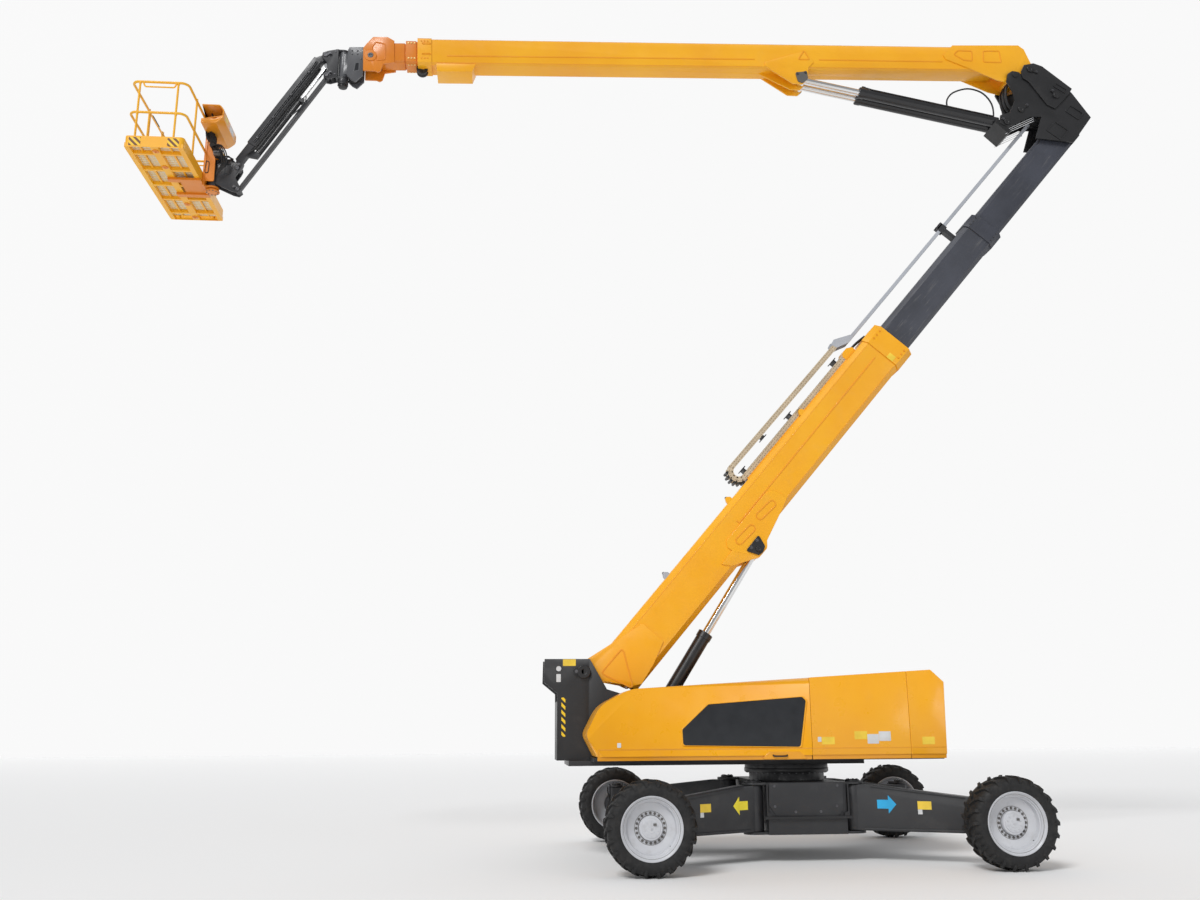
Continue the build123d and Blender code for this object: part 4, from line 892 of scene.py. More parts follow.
def rimShape(corner, centre, way):
    # turned from the outer flange inwards: stepped bead seat, well, dished disc, raised hub cap
    half = wheel["halfWidth"]
    bowl = [(half - 0.010, 0.388), (half - 0.004, 0.385), (half - 0.004, 0.378), (half - 0.014, 0.374),
            (half - 0.020, 0.366), (half - 0.030, 0.362), (half - 0.034, 0.352), (half - 0.046, 0.348),
            (half - 0.050, 0.338), (half - 0.075, 0.330), (half - 0.080, 0.318), (0.098, 0.312),
            (0.080, 0.304), (0.074, 0.270), (0.060, 0.226), (0.056, 0.205), (0.0535, 0.198), (0.0535, 0.150)]
    cap = [(0.0535, 0.1502), (0.095, 0.1480), (0.108, 0.1400), (0.110, 0.118), (0.117, 0.114), (0.119, 0.060),
           (0.122, 0.057), (0.123, 0.022), (0.130, 0.020), (0.132, 0.0)]
    back = [(-half + 0.010, 0.388), (-half + 0.004, 0.384), (-half + 0.006, 0.374), (-half + 0.030, 0.360),
            (-half + 0.070, 0.346), (0.030, 0.346), (0.034, 0.300), (0.0355, 0.180), (0.0355, 0.0)]
    barrel = [(half - 0.010, 0.388), (half - 0.030, 0.388), (half - 0.050, 0.360), (-half + 0.050, 0.360),
              (-half + 0.030, 0.388), (-half + 0.010, 0.388)]
    shape = Shape()
    for profile in (bowl + cap, barrel, back):
        shape.lathe(centre, (0, way, 0), profile, wheel["sides"]).openEnds()
    bmesh.ops.remove_doubles(shape.bm, verts=shape.bm.verts, dist=0.0004)
    return shape.done("rim_disc_" + corner, "wheel_" + corner, "rimWhite", smooth=24)


for corner, wayX, wayY in corners:
    centre = x, y, z = wayX * wheel["base"], wayY * wheel["halfTrack"], wheel["hubHeight"]
    body, out = "wheel_" + corner, (0, wayY, 0)
    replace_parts(tyreBody(corner, centre), "tyre_" + corner)
    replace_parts(rimShape(corner, centre, wayY), "rim_" + corner)
    # the two rows of lugs stand half a step apart
    for side, hand in (("out", 1), ("in", -1)):
        grow(f"tyre_lugs_{side}_{corner}", wheelRing, body, lugShape(hand * wayY), Count=wheel["lugs"],
             Centre=centre, Start=0.0 if hand > 0 else math.pi / wheel["lugs"], Material=finish["tyreRubber"])
    count, size, head = wheel["bolts"]
    bolts("rim_bolts_" + corner, body, around((x, y + wayY * wheel["disc"], z), out, size, count, (0, 0, 1),
                                              (1, 0, 0)), head, 0.014, "keeperGrey")
    # thin dark rings at the rim's steps: painted shade in its grooves
    grooveShade = Shape()
    for across, radius, deep in wheel["grooveShade"]:
        grooveShade.lathe(centre, out, [(across - 0.003, radius + deep), (across + 0.001, radius + deep * 0.7),
                                    (across + 0.001, radius - deep * 0.7), (across - 0.003, radius - deep)],
                      wheel["sides"]).openEnds()
    grooveShade.done("rim_grooves_" + corner, body, "keeperGrey", smooth=60)
    Shape().box(*(Vector((x + a, y + wayY * (wheel["capTop"] + 0.0005) + b, z + c))
                  for a, b, c in ((0.026, -0.0005, 0.030), (0.066, 0.0005, 0.058)))) \
        .done("hub_plate_" + corner, body, "keeperGrey")
    count, size, head = wheel["capBolts"]
    spots = around((x, y + wayY * wheel["cap"], z), out, size, count, (0, 0, 1), (1, 0, 0))
    bolts("hub_bolts_" + corner, body, spots + [((x, y + wayY * wheel["capTop"], z), out)], head, 0.007,
          "rimWhite")
    a, across, b = wheel["valve"]
    Shape().lathe((x + a, y + wayY * across, z + b), out, [(-0.03, 0.010), (0.035, 0.008), (0.040, 0.0)],
                  12) \
        .done("tyre_valve_" + corner, body, "blackPlastic")
print("wheels ready")

# drawn edges: folds, pressed windows and reinforcement rims, by default in a darker yellow that is painted
# shade along their steps
def stroke(points, width):
    # an open line given a width, mitred at its corners
    left, right = [], []
    for i, point in enumerate(points):
        here = Vector(point)
        ahead = (Vector(points[min(i + 1, len(points) - 1)]) - here)
        back = (here - Vector(points[max(i - 1, 0)]))
        ways = [w.normalized() for w in (back, ahead) if w.length > 1e-6]
        mean = sum(ways, Vector((0, 0))).normalized()
        side = Vector((-mean.y, mean.x))
        reach = width / 2 / max(side.dot(Vector((-ways[0].y, ways[0].x))), 0.4)
        left.append(tuple(here + side * reach))
        right.append(tuple(here - side * reach))
    return left + right[::-1]


def inset(outline, distance):
    # the same outline moved inwards
    area = sum(a[0] * b[1] - b[0] * a[1] for a, b in zip(outline, outline[1:] + outline[:1]))
    way = 1 if area > 0 else -1
    result = []
    for i, point in enumerate(outline):
        back = (Vector(point) - Vector(outline[i - 1])).normalized()
        ahead = (Vector(outline[(i + 1) % len(outline)]) - Vector(point)).normalized()
        side = Vector((-(back + ahead).y, (back + ahead).x)).normalized() * way
        straight = Vector((-back.y, back.x)) * way
        result.append(tuple(Vector(point) + side * distance / max(side.dot(straight), 0.5)))
    return result


# raised lines, by default in the darker yellow that paints the shade along a fold
def foldLines(name, body, place, lines, face, look="creaseYellow", width=0.020, height=0.006):
    shape = Shape(place)
    for points in lines:
        shape.both(stroke(points, width), face - 0.004, face + height)
    return shape.done(name, body, look, 0.003)


# raised rims round pressed outlines, by default in the darker yellow that paints the shade along their edges
def windows(name, body, place, outlines, face, look="creaseYellow", width=0.018, height=0.007):
    shape = Shape(place)
    for outline in outlines:
        inner = inset(outline, width)
        for way in (1, -1):
            shape.frameOf(outline, inner, *span(way, face - 0.004, face + height))
    return shape.done(name, body, look, 0.003)


def pinCap(name, body, place, a, b, face, radius, look="frameBlack", keeper=None, proud=0.03):
    # a pin's end on both sides, with the keeper's bolt beside it
    shape, bright = Shape(place), []
    for way in (1, -1):
        base = place(a, b, way * face)
        shape.lathe(base, (0, way, 0), [(-0.01, radius), (proud - 0.008, radius), (proud, radius - 0.008),
                                        (proud, radius * 0.45), (proud - 0.006, radius * 0.4),
                                        (proud - 0.006, 0)], 28)
        if keeper:
            ka, kb = keeper
            shape.prism(stroke([(a, b), keeper], radius * 0.8), *span(way, face - 0.002, face + 0.016))
            shape.lathe(place(ka, kb, way * face), (0, way, 0), [(0, radius * 0.5), (0.018, radius * 0.5),
                                                                 (0.018, 0)], 20)
            bright.append((place(ka, kb, way * (face + 0.018)), (0, way, 0)))
    shape.done(name, body, look, 0.004)
    if bright:
        bolts(name + "_bolt", body, bright, 0.017, 0.014)


def collarBolts(name, body, place, rows, face, look, radius, tall=0.010):
    # bolts in rows, on both sides
    spots = [(place(a, b, way * face), (0, way, 0)) for a, b in rows for way in (1, -1)]
    bolts(name, body, spots, radius, tall, look)


# tower boom: pressed plate, folds, keepers, collars
tower = {
    "face": 0.250, "plate": 0.265, "midCollar": 0.236, "collar": 0.272,
    "groove": [(6.782, -0.370), (3.237, -0.370), (3.229, -0.318)],
    "topFold": [(0.95, -0.150), (6.85, -0.150)],
    "lowFold": [(4.05, -0.680), (6.85, -0.680)],
    "footRib": [(0.66, -0.200), (0.14, -0.195), (0.285, -0.735)],
    "patch": [(2.833, -0.590), (2.815, -0.463), (2.885, -0.391), (3.841, -0.385), (3.968, -0.438),
              (4.013, -0.576),
              (4.015, -0.690), (3.860, -0.735), (3.300, -0.860), (3.220, -0.928), (3.030, -0.925)],
    "slots": [(3.657, -0.557, 0.40, 0.130, -6), (3.150, -0.553, 0.40, 0.128, -5)],
    "keeper": [(3.275, -0.705), (2.955, -0.712), (3.036, -0.900), (3.105, -0.925), (3.205, -0.890)],
    "keeperBolts": [(3.190, -0.742), (3.045, -0.744)],
    "pin": (3.104, -0.840),
}
foldLines("tower_folds", "tower_base", onTower, [tower["groove"]], tower["face"])
foldLines("tower_edge_folds", "tower_base", onTower, [tower["topFold"], tower["lowFold"]],
          tower["face"] - 0.003, width=0.012, height=0.004)
Shape(onTower).both(rounded(tower["patch"], [0.01, 0.05, 0.06, 0.02, 0.08, 0.04, 0.01, 0.02, 0.03, 0.05,
                                             0.05]), tower["face"] - 0.004, tower["plate"] + 0.003) \
    .done("tower_patch", "tower_base", "boomYellow", 0.005)
windows("tower_patch_windows", "tower_base", onTower, [stadium(*row) for row in tower["slots"]],
        tower["plate"] + 0.003)
windows("tower_foot_rib", "tower_base", onTower, [rounded(tower["footRib"], 0.055, 6)], tower["plate"],
        width=0.022)
Shape(onTower).both(rounded(tower["keeper"], [0.03, 0.03, 0.03, 0.05, 0.05], 5), tower["plate"] - 0.002,
                    tower["plate"] + 0.026).done("lift_pin_keeper", "tower_base", "frameBlack", 0.005)
collarBolts("lift_keeper_bolts", "tower_base", onTower, tower["keeperBolts"], tower["plate"] + 0.026,
            "boltSteel", 0.019, 0.014)
pinCap("lift_pin_boss", "tower_base", onTower, *tower["pin"], tower["plate"] + 0.02, 0.045)
collarBolts("tower_collar_bolts", "tower_base", onTower,
            [(s, t) for s in (7.02, 7.10, 7.18) for t in (-0.16, -0.655)], tower["collar"], "creaseYellow",
            0.012)
collarBolts("mid_collar_bolts", "tower_mid", onTower, [(s, t) for s in (9.76, 9.84, 9.92)
                                                       for t in (-0.19, -0.62)], tower["midCollar"],
            "boltSteel", 0.011)
Shape(onTower).both([(6.90, -0.50), (6.90, -0.62), (7.0, -0.62), (7.0, -0.50)], tower["collar"],
                    tower["collar"] + 0.003).done("tower_collar_label", "tower_base", "labelYellow")
pinCap("tower_foot_pin", "turntable", onSide, -2.990, 2.567, 0.365, 0.098, "frameBlack", (-3.098, 2.572),
       0.022)

# cheeks beside the tower's foot: hand hole, labels and the striped strip
cheek = {
    "face": 0.340, "hole": (-3.352, 2.612, 0.048), "stripe": (-3.312, 1.662, -3.256, 2.205),
    "labels": [(-3.291, 2.650, -3.105, 2.745, "labelYellow"), (-3.385, 2.424, -3.322, 2.535, "labelWhite")],
}
for side, way in (("left", -1), ("right", 1)):
    for k, (x0, z0, x1, z1, look) in enumerate(cheek["labels"]):
        label(f"cheek_label_{k}_{side}", "turntable", x0, z0, x1, z1, cheek["face"], way, look)
    x0, z0, x1, z1 = cheek["stripe"]
    label("cheek_stripes_" + side, "turntable", x0, z0, x1, z1, cheek["face"], way, "hazardSide")
windows("cheek_hand_hole", "turntable", onSide, [circle(*cheek["hole"])], cheek["face"], "frameBlack", 0.010,
        0.006)
Shape().both(circle(cheek["hole"][0], cheek["hole"][1], cheek["hole"][2] - 0.010), cheek["face"] - 0.002,
                   cheek["face"] + 0.001).done("cheek_hole_shade", "turntable", "labelWhite")

# small brackets along the back of the tower
clip = {"places": [(1.90, -0.057), (3.43, -0.057), (5.30, -0.057)], "size": (0.055, 0.085, 0.05)}
for k, (s, t) in enumerate(clip["places"]):
    a, b, y = clip["size"]
    Shape(onTower).prism([(s - a, t - 0.005), (s + a, t - 0.005), (s + a, t + b * 0.5), (s + a * 0.3, t + b),
                          (s - a * 0.3, t + b), (s - a, t + b * 0.4)], -y - 0.12, -0.12) \
        .done(f"tower_clip_{k}", "tower_base", "boomYellow" if k else "conduitGrey", 0.006)
    bolts(f"tower_clip_bolt_{k}", "tower_base", [(onTower(s, t + b, -0.145),
                                                  tuple(onTower(0, 1) - onTower(0, 0)))], 0.014, 0.012)
print("tower dressed")

# energy chain: links on a bent run, cross bars, clips, rollers and the end bracket
chain = {
    "inner": 0.008, "outer": 0.258, "outerEnd": 0.232, "bend": 3.905, "start": 6.62, "end": 6.58,
    "height": 0.086, "width": 0.216, "pitch": 0.078,
    "clips": [(6.36, 0.070, 1), (5.17, 0.070, 1), (3.99, 0.070, 1), (4.61, 0.212, -1)],
}


def chainRun():
    run = [(chain["start"], chain["inner"]), (chain["bend"], chain["inner"])]
    middle = (chain["inner"] + chain["outer"]) / 2
    radius = (chain["outer"] - chain["inner"]) / 2
    for k in range(1, 12):
        turn = math.pi * k / 12
        run.append((chain["bend"] - radius * math.sin(turn), middle - radius * math.cos(turn)))
    run += [(chain["bend"], chain["outer"]), (chain["end"], chain["outerEnd"])]
    return [onTower(s, t) for s, t in run]


def dottedLinks():
    # one link: a plate on each side and two cross bars, drawn along X
    shape = Shape(lambda a, b, y=0.0: Vector((a, y, b)))
    length, height, half = chain["pitch"] * 0.98, chain["height"], chain["width"] / 2
    outline = rounded(rect(-length / 2, -height / 2, length / 2, height / 2), 0.014, 2)
    shape.both(outline, half - 0.022, half)
    for low in (0.006 - height / 2, height / 2 - 0.018):
        shape.box((-0.010, 0.02 - half, low), (0.010, half - 0.02, low + 0.012))
    return shape.mesh("linkPlates")


def linkTree():
    # link: any object's mesh, copied along the run and turned with it, at a whole number of pitches
    t = Tree("chainLinks", **{"Pitch": 0.1, "Sink": 0.0, "Material": ""})
    t.tree.interface.new_socket("Link", in_out="INPUT", socket_type="NodeSocketObject")
    link = t.add("GeometryNodeObjectInfo", {0: t.inputs["Link"]})
    line = t.add("GeometryNodeMeshToCurve", {0: t.inputs["Geometry"]})
    even = t.even(line, t.inputs["Pitch"])
    points = t.add("GeometryNodeCurveToPoints", {0: even.outputs[0]}, mode="EVALUATED")
    turn = t.add("FunctionNodeAlignRotationToVector", {"Vector": points.outputs["Tangent"]}, axis="X",
                 pivot_axis="Y")
    copies = t.add("GeometryNodeInstanceOnPoints", {"Points": points.outputs[0],
                                                    "Instance": link.outputs["Geometry"],
                                                    "Rotation": turn.outputs[0]})
    return t.close(copies.outputs[0])


chainLinks = linkTree()


def alongRun(name, body, run, part, pitch, look):
    # part is a mesh; it stands in a helper object only while the tree runs
    helper = placed(name + "_part", part)
    thing = grow(name, chainLinks, body, chains(name, [run]), Pitch=pitch, Link=helper, Material=finish[look])
    bpy.data.objects.remove(helper)
    return thing


def dotPart():
    shape = Shape(lambda a, b, y=0.0: Vector((a, y, b)))
    half = chain["width"] / 2
    for a, b in ((-0.018, 0.022), (0.020, -0.022), (0.022, 0.020), (-0.020, -0.020)):
        shape.both(circle(a, b, 0.0065, 8), half - 0.004, half + 0.002)
    return shape.mesh("linkDots")


links = alongRun("chain_links", "tower_base", chainRun(), dottedLinks(), chain["pitch"], "chainTan")
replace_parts(links, "energy_chain")
alongRun("chain_link_pins", "tower_base", chainRun(), dotPart(), chain["pitch"], "chainPin")
for k, (s, t, way) in enumerate(chain["clips"]):
    Shape(onTower).prism([(s - 0.012, t - 0.02 * way), (s + 0.012, t - 0.02 * way),
                          (s + 0.012, t + 0.030 * way), (s + 0.052, t + 0.034 * way),
                          (s + 0.052, t + 0.048 * way), (s - 0.052, t + 0.048 * way),
                          (s - 0.052, t + 0.034 * way), (s - 0.012, t + 0.030 * way)], -0.105, 0.105) \
        .done(f"chain_clip_{k}", "tower_base", "blackPlastic", 0.004)
rollers = Shape(onTower)
middle, radius = (chain["inner"] + chain["outer"]) / 2, (chain["outer"] - chain["inner"]) / 2 + 0.056
for k in range(6):
    turn = math.pi * (0.14 + 0.12 * k)
    rollers.prism(circle(chain["bend"] - radius * math.sin(turn), middle - radius * math.cos(turn), 0.022,
                         12), -0.10, 0.10)
rollers.done("chain_rollers", "tower_base", "blackPlastic", 0.003)
Shape(onTower).prism([(6.50, -0.057), (6.74, -0.057), (6.74, 0.015), (6.66, 0.075), (6.56, 0.075),
                      (6.50, 0.03)], -0.115, 0.115).done("chain_end_block", "tower_base", "boomYellow",
                                                         0.006)
hoses("chain_strain_relief", "tower_base", [[onTower(6.70, 0.010, y), onTower(6.84, 0.004, y),
                                             onTower(6.99, -0.020, y * 0.8), onTower(7.06, -0.034, y * 0.7)]
                                            for y in (-0.045, 0.0, 0.045)], 0.020)
# the rail that carries the chain's moving end, fixed to the fly section's head
rail = {"line": [(6.90, 0.128), (12.16, 0.128)], "half": 0.035, "depth": 0.060,
        "foot": [(6.545, 0.300), (6.640, 0.318), (6.900, 0.160), (6.900, 0.098), (6.770, 0.098),
                 (6.560, 0.195)]}
(s0, t0), (s1, t1) = rail["line"]
Shape(onTower).prism([(s0, t0 - rail["depth"] / 2), (s1, t1 - rail["depth"] / 2),
                      (s1, t1 + rail["depth"] / 2), (s0, t0 + rail["depth"] / 2)], -rail["half"],
                     rail["half"]) \
    .done("chain_rail", "tower_fly", "conduitGrey", 0.008)
Shape(onTower).both(rounded(rail["foot"], 0.03, 4), 0.100, 0.112) \
    .prism([(6.60, 0.27), (6.66, 0.28), (6.90, 0.145), (6.88, 0.115)], -0.105, 0.105) \
    .done("chain_rail_foot", "tower_fly", "conduitGrey", 0.005)
Shape(onTower).both(rect(9.43, 0.070, 9.56, 0.215), 0.036, 0.06) \
    .prism(rect(9.43, 0.160, 9.56, 0.190), -0.06, 0.06) \
    .prism(rect(9.46, -0.155, 9.53, 0.095), -0.058, 0.058) \
    .done("chain_rail_guide", "tower_mid", "jibGrey", 0.005)
collarBolts("chain_guide_bolts", "tower_mid", onTower, [(9.495, 0.085), (9.495, 0.20)], 0.06, "boltSteel",
            0.013, 0.011)
print("energy chain ready")

# elbow: pins, pressed windows, fine pipes and the hose loops
elbow = {
    "face": 0.245, "linkFace": 0.271,
    "linkPins": [(12.863, 0.723, 12.893, 0.609), (12.761, 0.088, 12.789, 0.188)],
    "armPins": [(12.124, 0.394, 12.261, 0.364), (11.757, 0.440, 11.753, 0.525)],
    "windows": [[(12.64, -0.20), (12.81, -0.20), (12.84, -0.48), (12.665, -0.485)],
                [(12.10, -0.16), (12.36, -0.18), (12.38, -0.47), (12.12, -0.47)]],
    "linkWindow": [(12.875, 0.225), (12.965, 0.235), (12.998, 0.0), (12.90, -0.01)],
}
for part, face, size in (("link", elbow["linkFace"], 0.058), ("arm", elbow["face"], 0.055)):
    for k, (s, t, ks, kt) in enumerate(elbow[part + "Pins"]):
        pinCap(f"elbow_{part}_pin_{k}", "tower_fly", onTower, s, t, face, size, "frameBlack", (ks, kt))
windows("elbow_windows", "tower_fly", onTower, [rounded(w, 0.03, 4) for w in elbow["windows"]], elbow["face"],
        "frameBlack", 0.020, 0.010)
windows("elbow_link_window", "tower_fly", onTower, [rounded(elbow["linkWindow"], 0.02, 4)], elbow["linkFace"],
        "frameBlack", 0.016, 0.008)
fine = [[onTower(12.19 - 0.03 * k, 0.170 - 0.022 * k, way * 0.225),
         onTower(11.72 - 0.05 * k, 0.363 - 0.012 * k, way * 0.225)]
        for k in range(4) for way in (-1, 1)]
tubes("elbow_fine_pipes", "tower_fly", fine, 0.0045, "pipeWhite", 0.01, 8)
tubes("elbow_pipe_clamps", "tower_fly", [[onTower(12.21, 0.195, y), onTower(12.09, 0.085, y)]
                                         for y in (-0.232, 0.232)], 0.009, "boltSteel", 0.01, 8)
hoses("elbow_hose_bundle", "tower_fly", [[onTower(12.50 + d, 0.86, y), onTower(12.32 + d, 0.80, y),
                                          onTower(12.14 + d, 0.62, y), onTower(12.12 + d, 0.40, y + 0.01),
                                          onTower(12.22 + d, 0.10, y), onTower(12.36 + d, -0.10, y)]
                                         for d, y in ((0.0, -0.13), (0.03, -0.08), (0.0, -0.03),
                                                      (0.03, 0.02), (0.0, 0.07), (0.03, 0.12))], 0.021)
Shape(onTower).prism([(11.60, 0.30), (11.68, 0.28), (11.70, 0.60), (11.62, 0.60)], -0.235, 0.235) \
    .done("luff_foot_plate", "tower_fly", "frameBlack", 0.006)
print("elbow dressed")

# main boom: rear plate, folds, luff bracket, collars and the nose
boom = {
    "face": 0.180, "rear": 0.198, "luff": 0.195, "collar": 0.196, "stageCollar": 0.162,
    "rearD": [(1.050, 0.420), (0.952, 0.505), (0.690, 0.501), (0.703, 0.290), (0.867, 0.300)],
    "rearWindow": [(0.499, 0.504), (0.194, 0.509), (0.182, 0.267), (0.520, 0.270)],
    "stepLine": [(3.440, 0.290), (1.240, 0.287)],
    "frontLine": [(9.770, 0.270), (4.560, 0.285)],
    "triangle": [(3.822, 0.275), (3.690, 0.475), (3.590, 0.275)],
    "keeper": [(3.883, 0.018), (3.675, 0.048), (3.670, -0.095), (3.760, -0.180), (3.850, -0.150)],
    "keeperBolts": [(3.848, 0.000), (3.705, 0.022)],
}
windows("boom_rear_windows", "boom", onBoom, [rounded(boom["rearD"], [0.06, 0.06, 0.03, 0.03, 0.06], 6),
                                              rounded(boom["rearWindow"], 0.035, 5)], boom["rear"])
pinCap("boom_pin_cap", "boom", onBoom, 0, 0, boom["rear"], 0.066, "frameBlack", None, 0.024)
foldLines("boom_step_lines", "boom", onBoom, [boom["stepLine"], boom["frontLine"]], boom["face"])
foldLines("boom_edge_folds", "boom", onBoom, [[(1.0, 0.146), (3.60, 0.146)], [(4.44, 0.146), (9.98, 0.146)]],
          boom["face"] - 0.003, width=0.012, height=0.003)
windows("luff_triangle", "boom", onBoom, [rounded(boom["triangle"], 0.03, 4)], boom["luff"])
Shape(onBoom).both(rounded(boom["keeper"], [0.03, 0.03, 0.04, 0.06, 0.05], 5), boom["luff"] - 0.002,
                   boom["luff"] + 0.020).done("luff_pin_keeper", "boom", "keeperGrey", 0.005)
collarBolts("luff_keeper_bolts", "boom", onBoom, boom["keeperBolts"], boom["luff"] + 0.020, "boltSteel",
            0.017, 0.013)
collarBolts("boom_collar_bolts", "boom", onBoom, [(u, v) for u in (10.090, 10.140, 10.190)
                                                  for v in (0.537, 0.215)], boom["collar"], "creaseYellow",
            0.010)
windows("boom_collar_pads", "boom", onBoom, [stadium(10.11, v, 0.15, 0.030) for v in (0.487, 0.291)],
        boom["collar"], width=0.006)
collarBolts("stage_collar_bolts", "boom_stage_one", onBoom,
            [(u, v) for u in (10.307, 10.357, 10.407) for v in (0.516, 0.231)], boom["stageCollar"],
            "boltPale", 0.010)
bolts("stage_collar_low_bolts", "boom_stage_one",
      [(onBoom(u, 0.1405, y), tuple(onBoom(0, -1) - onBoom(0, 0))) for u in (10.307, 10.357, 10.407)
       for y in (-0.11, 0.11)], 0.010, 0.008, "boltPale")
nose = {
    "face": 0.155, "pin": (-6.480, 12.600),
    "boss": [(-0.005, 0.100), (0.012, 0.100), (0.014, 0.070), (0.014, 0.042)],
    "window": [(10.78, 0.20), (10.78, 0.50), (10.95, 0.54), (11.02, 0.42), (11.02, 0.24), (10.92, 0.18)],
}
windows("boom_nose_window", "boom_nose", onBoom, [rounded(nose["window"], 0.04, 5)], nose["face"],
        "noseOrange", 0.016, 0.008)
boss = Shape()
for way in (-1, 1):
    boss.lathe(onSide(*nose["pin"], way * nose["face"]), (0, way, 0), nose["boss"], 36)
boss.done("boom_nose_boss", "boom_nose", "noseOrange", 0.004)
pinCap("level_pin_cap", "level_pin", onSide, *nose["pin"], 0.152, 0.050, "boltSteel", None, 0.024)
# the black-rimmed roller guide under the mouth
Shape().lathe(onBoom(10.19, 0.105, -0.06), (0, 1, 0), [(0, 0.075), (0, 0.095), (0.02, 0.095), (0.03, 0.080),
                                                       (0.09, 0.080), (0.10, 0.095), (0.12, 0.095),
                                                       (0.12, 0.075)], 36).done("boom_hose_guide", "boom",
                                                                                "blackPlastic", 0.003)
Shape(onBoom).prism([(10.10, 0.125), (10.245, 0.125), (10.215, 0.10), (10.16, 0.09)], -0.075, 0.075) \
    .done("boom_hose_guide_bracket", "boom", "boomYellow", 0.004)
# luff cylinders: bolted heads, ports and the hose loop that hangs below the boom
luffTurn = math.degrees(math.atan2(12.522 - 11.839, 0.794 - 4.312))
onLuff = sideFrame(4.312, 11.839, luffTurn, -1)
for way, name in ((-1, "left"), (1, "right")):
    y = way * 0.098
    bolts("luff_head_bolts_" + name, "luff_barrels", around(onLuff(2.560, 0, y), onLuff(1, 0) - onLuff(0, 0),
                                                            0.076, 8, onLuff(0, 1) - onLuff(0, 0),
                                                            (0, 1, 0)), 0.011, 0.012)
    Shape(onLuff).prism([(2.40, 0.085), (2.53, 0.085), (2.53, 0.125), (2.47, 0.125), (2.45, 0.108),
                         (2.40, 0.108)], y - 0.03, y + 0.03).done("luff_port_" + name, "luff_barrels",
                                                                  "cylinderBlack", 0.005)
    tubes("luff_pipe_" + name, "luff_barrels",
          [[onLuff(0.22, 0.060, y + way * 0.078), onLuff(2.35, 0.060, y + way * 0.078),
            onLuff(2.45, 0.105, y + way * 0.03)]], 0.010, "cylinderBlack", 0.05, 10)
hoses("boom_hose_loop", "luff_barrels", [[onLuff(1.02, 0.085, -0.13), onLuff(1.04, 0.20, -0.15),
                                          onLuff(0.95, 0.36, -0.15), onLuff(0.72, 0.50, -0.14),
                                          onLuff(0.50, 0.52, -0.12), onLuff(0.34, 0.46, -0.10),
                                          onLuff(0.22, 0.32, -0.09), onLuff(0.18, 0.12, -0.10),
                                          onLuff(0.20, 0.05, -0.10)]], 0.014)
print("boom dressed")

# jib head and bracket: window, bolts, pin ends and the hoses that pass them
jibSide = {
    "headFace": 0.119, "bracketFace": 0.090, "armFace": 0.075, "endFace": 0.088,
    "headWindow": [(-6.760, 12.300), (-6.655, 12.330), (-6.655, 12.500), (-6.735, 12.480)],
    "headBolts": [(-6.700, 12.700), (-6.700, 12.640), (-6.790, 12.700), (-6.790, 12.640), (-6.640, 12.560)],
    "bracketBolts": [(-7.060, 12.690), (-7.060, 12.270), (-7.150, 12.660), (-7.130, 12.250)],
    "length": 2.472, "cylinder": -0.105, "clamps": (0.42, 0.92, 1.42, 1.86),
    "swing": (-6.930, 0.0, 12.128), "linkSlots": (0.62, 0.98),
}
windows("jib_head_window", "jib_head", onSide, [rounded(jibSide["headWindow"], 0.025, 4)],
        jibSide["headFace"], "headGrey", 0.016, 0.003)
Shape().both(inset(rounded(jibSide["headWindow"], 0.025, 4), 0.016), jibSide["headFace"] - 0.002,
                   jibSide["headFace"] + 0.001).done("jib_head_window_shade", "jib_head", "windowBlack")
collarBolts("jib_head_bolts", "jib_head", onSide, jibSide["headBolts"], jibSide["headFace"], "boltSteel",
            0.011)
collarBolts("jib_bracket_bolts", "jib_bracket", onSide, jibSide["bracketBolts"], jibSide["bracketFace"],
            "boltSteel", 0.010)
pinCap("jib_head_pin", "jib_head", onSide, *nose["pin"], 0.157, 0.030, "frameBlack", None, 0.016)
pinCap("jib_pin_cap", "jib_bracket", onSide, -7.220, 12.620, jibSide["bracketFace"], 0.040, "boltSteel",
       (-7.150, 12.640), 0.018)
pinCap("jib_link_pin_cap", "jib_bracket", onSide, -7.190, 12.250, jibSide["bracketFace"], 0.038, "boltSteel",
       (-7.130, 12.290), 0.018)
# side swing motor under the upright, with its bolted flange and ports
swingX, swingY, swingZ = jibSide["swing"]
Shape().lathe(jibSide["swing"], (0, 0, -1), [(0, 0.086), (0.018, 0.086), (0.020, 0.072), (0.052, 0.072),
                                             (0.060, 0.050), (0.060, 0)], 32) \
    .done("jib_swing_cap", "jib_bracket", "frameBlack", 0.004)
bolts("jib_swing_bolts", "jib_bracket", around((swingX, swingY, swingZ - 0.018), (0, 0, -1), 0.078, 8),
      0.007, 0.006)
hoses("jib_swing_hoses", "jib_head",
      [[(-6.62, y, 12.30), (-6.70, y * 1.2, 12.22), (-6.80, y * 1.4, 12.20), (-6.85, y * 1.3, 12.27),
        (-6.86, y, 12.38)] for y in (-0.055, -0.02, 0.015, 0.05)], 0.011)

# jib arm: seam, pipes, hoses, guard arch and cylinder head
foldLines("jib_arm_seam", "jib", onJib, [[(0.16, 0.010), (1.985, 0.010)]], jibSide["armFace"], "jibGrey",
          0.010, 0.003)
jibPipes = [[onJib(0.18, t, y), onJib(0.30, t - 0.010, y * 1.02), onJib(1.95, t - 0.010, y * 1.02)]
            for t, y in ((0.045, -0.083), (0.068, -0.083), (0.045, 0.083), (0.068, 0.083))]
tubes("jib_pipes", "jib", jibPipes, 0.007, "pipeBlack", 0.05, 8)
clamps = Shape(onJib)
for s in jibSide["clamps"]:
    clamps.both(rect(s - 0.020, 0.022, s + 0.020, 0.072), 0.074, 0.094)
clamps.done("jib_pipe_clamps", "jib", "blackPlastic", 0.003)
collarBolts("jib_clamp_bolts", "jib", onJib, [(s, 0.046) for s in jibSide["clamps"]], 0.094, "boltSteel",
            0.008, 0.006)
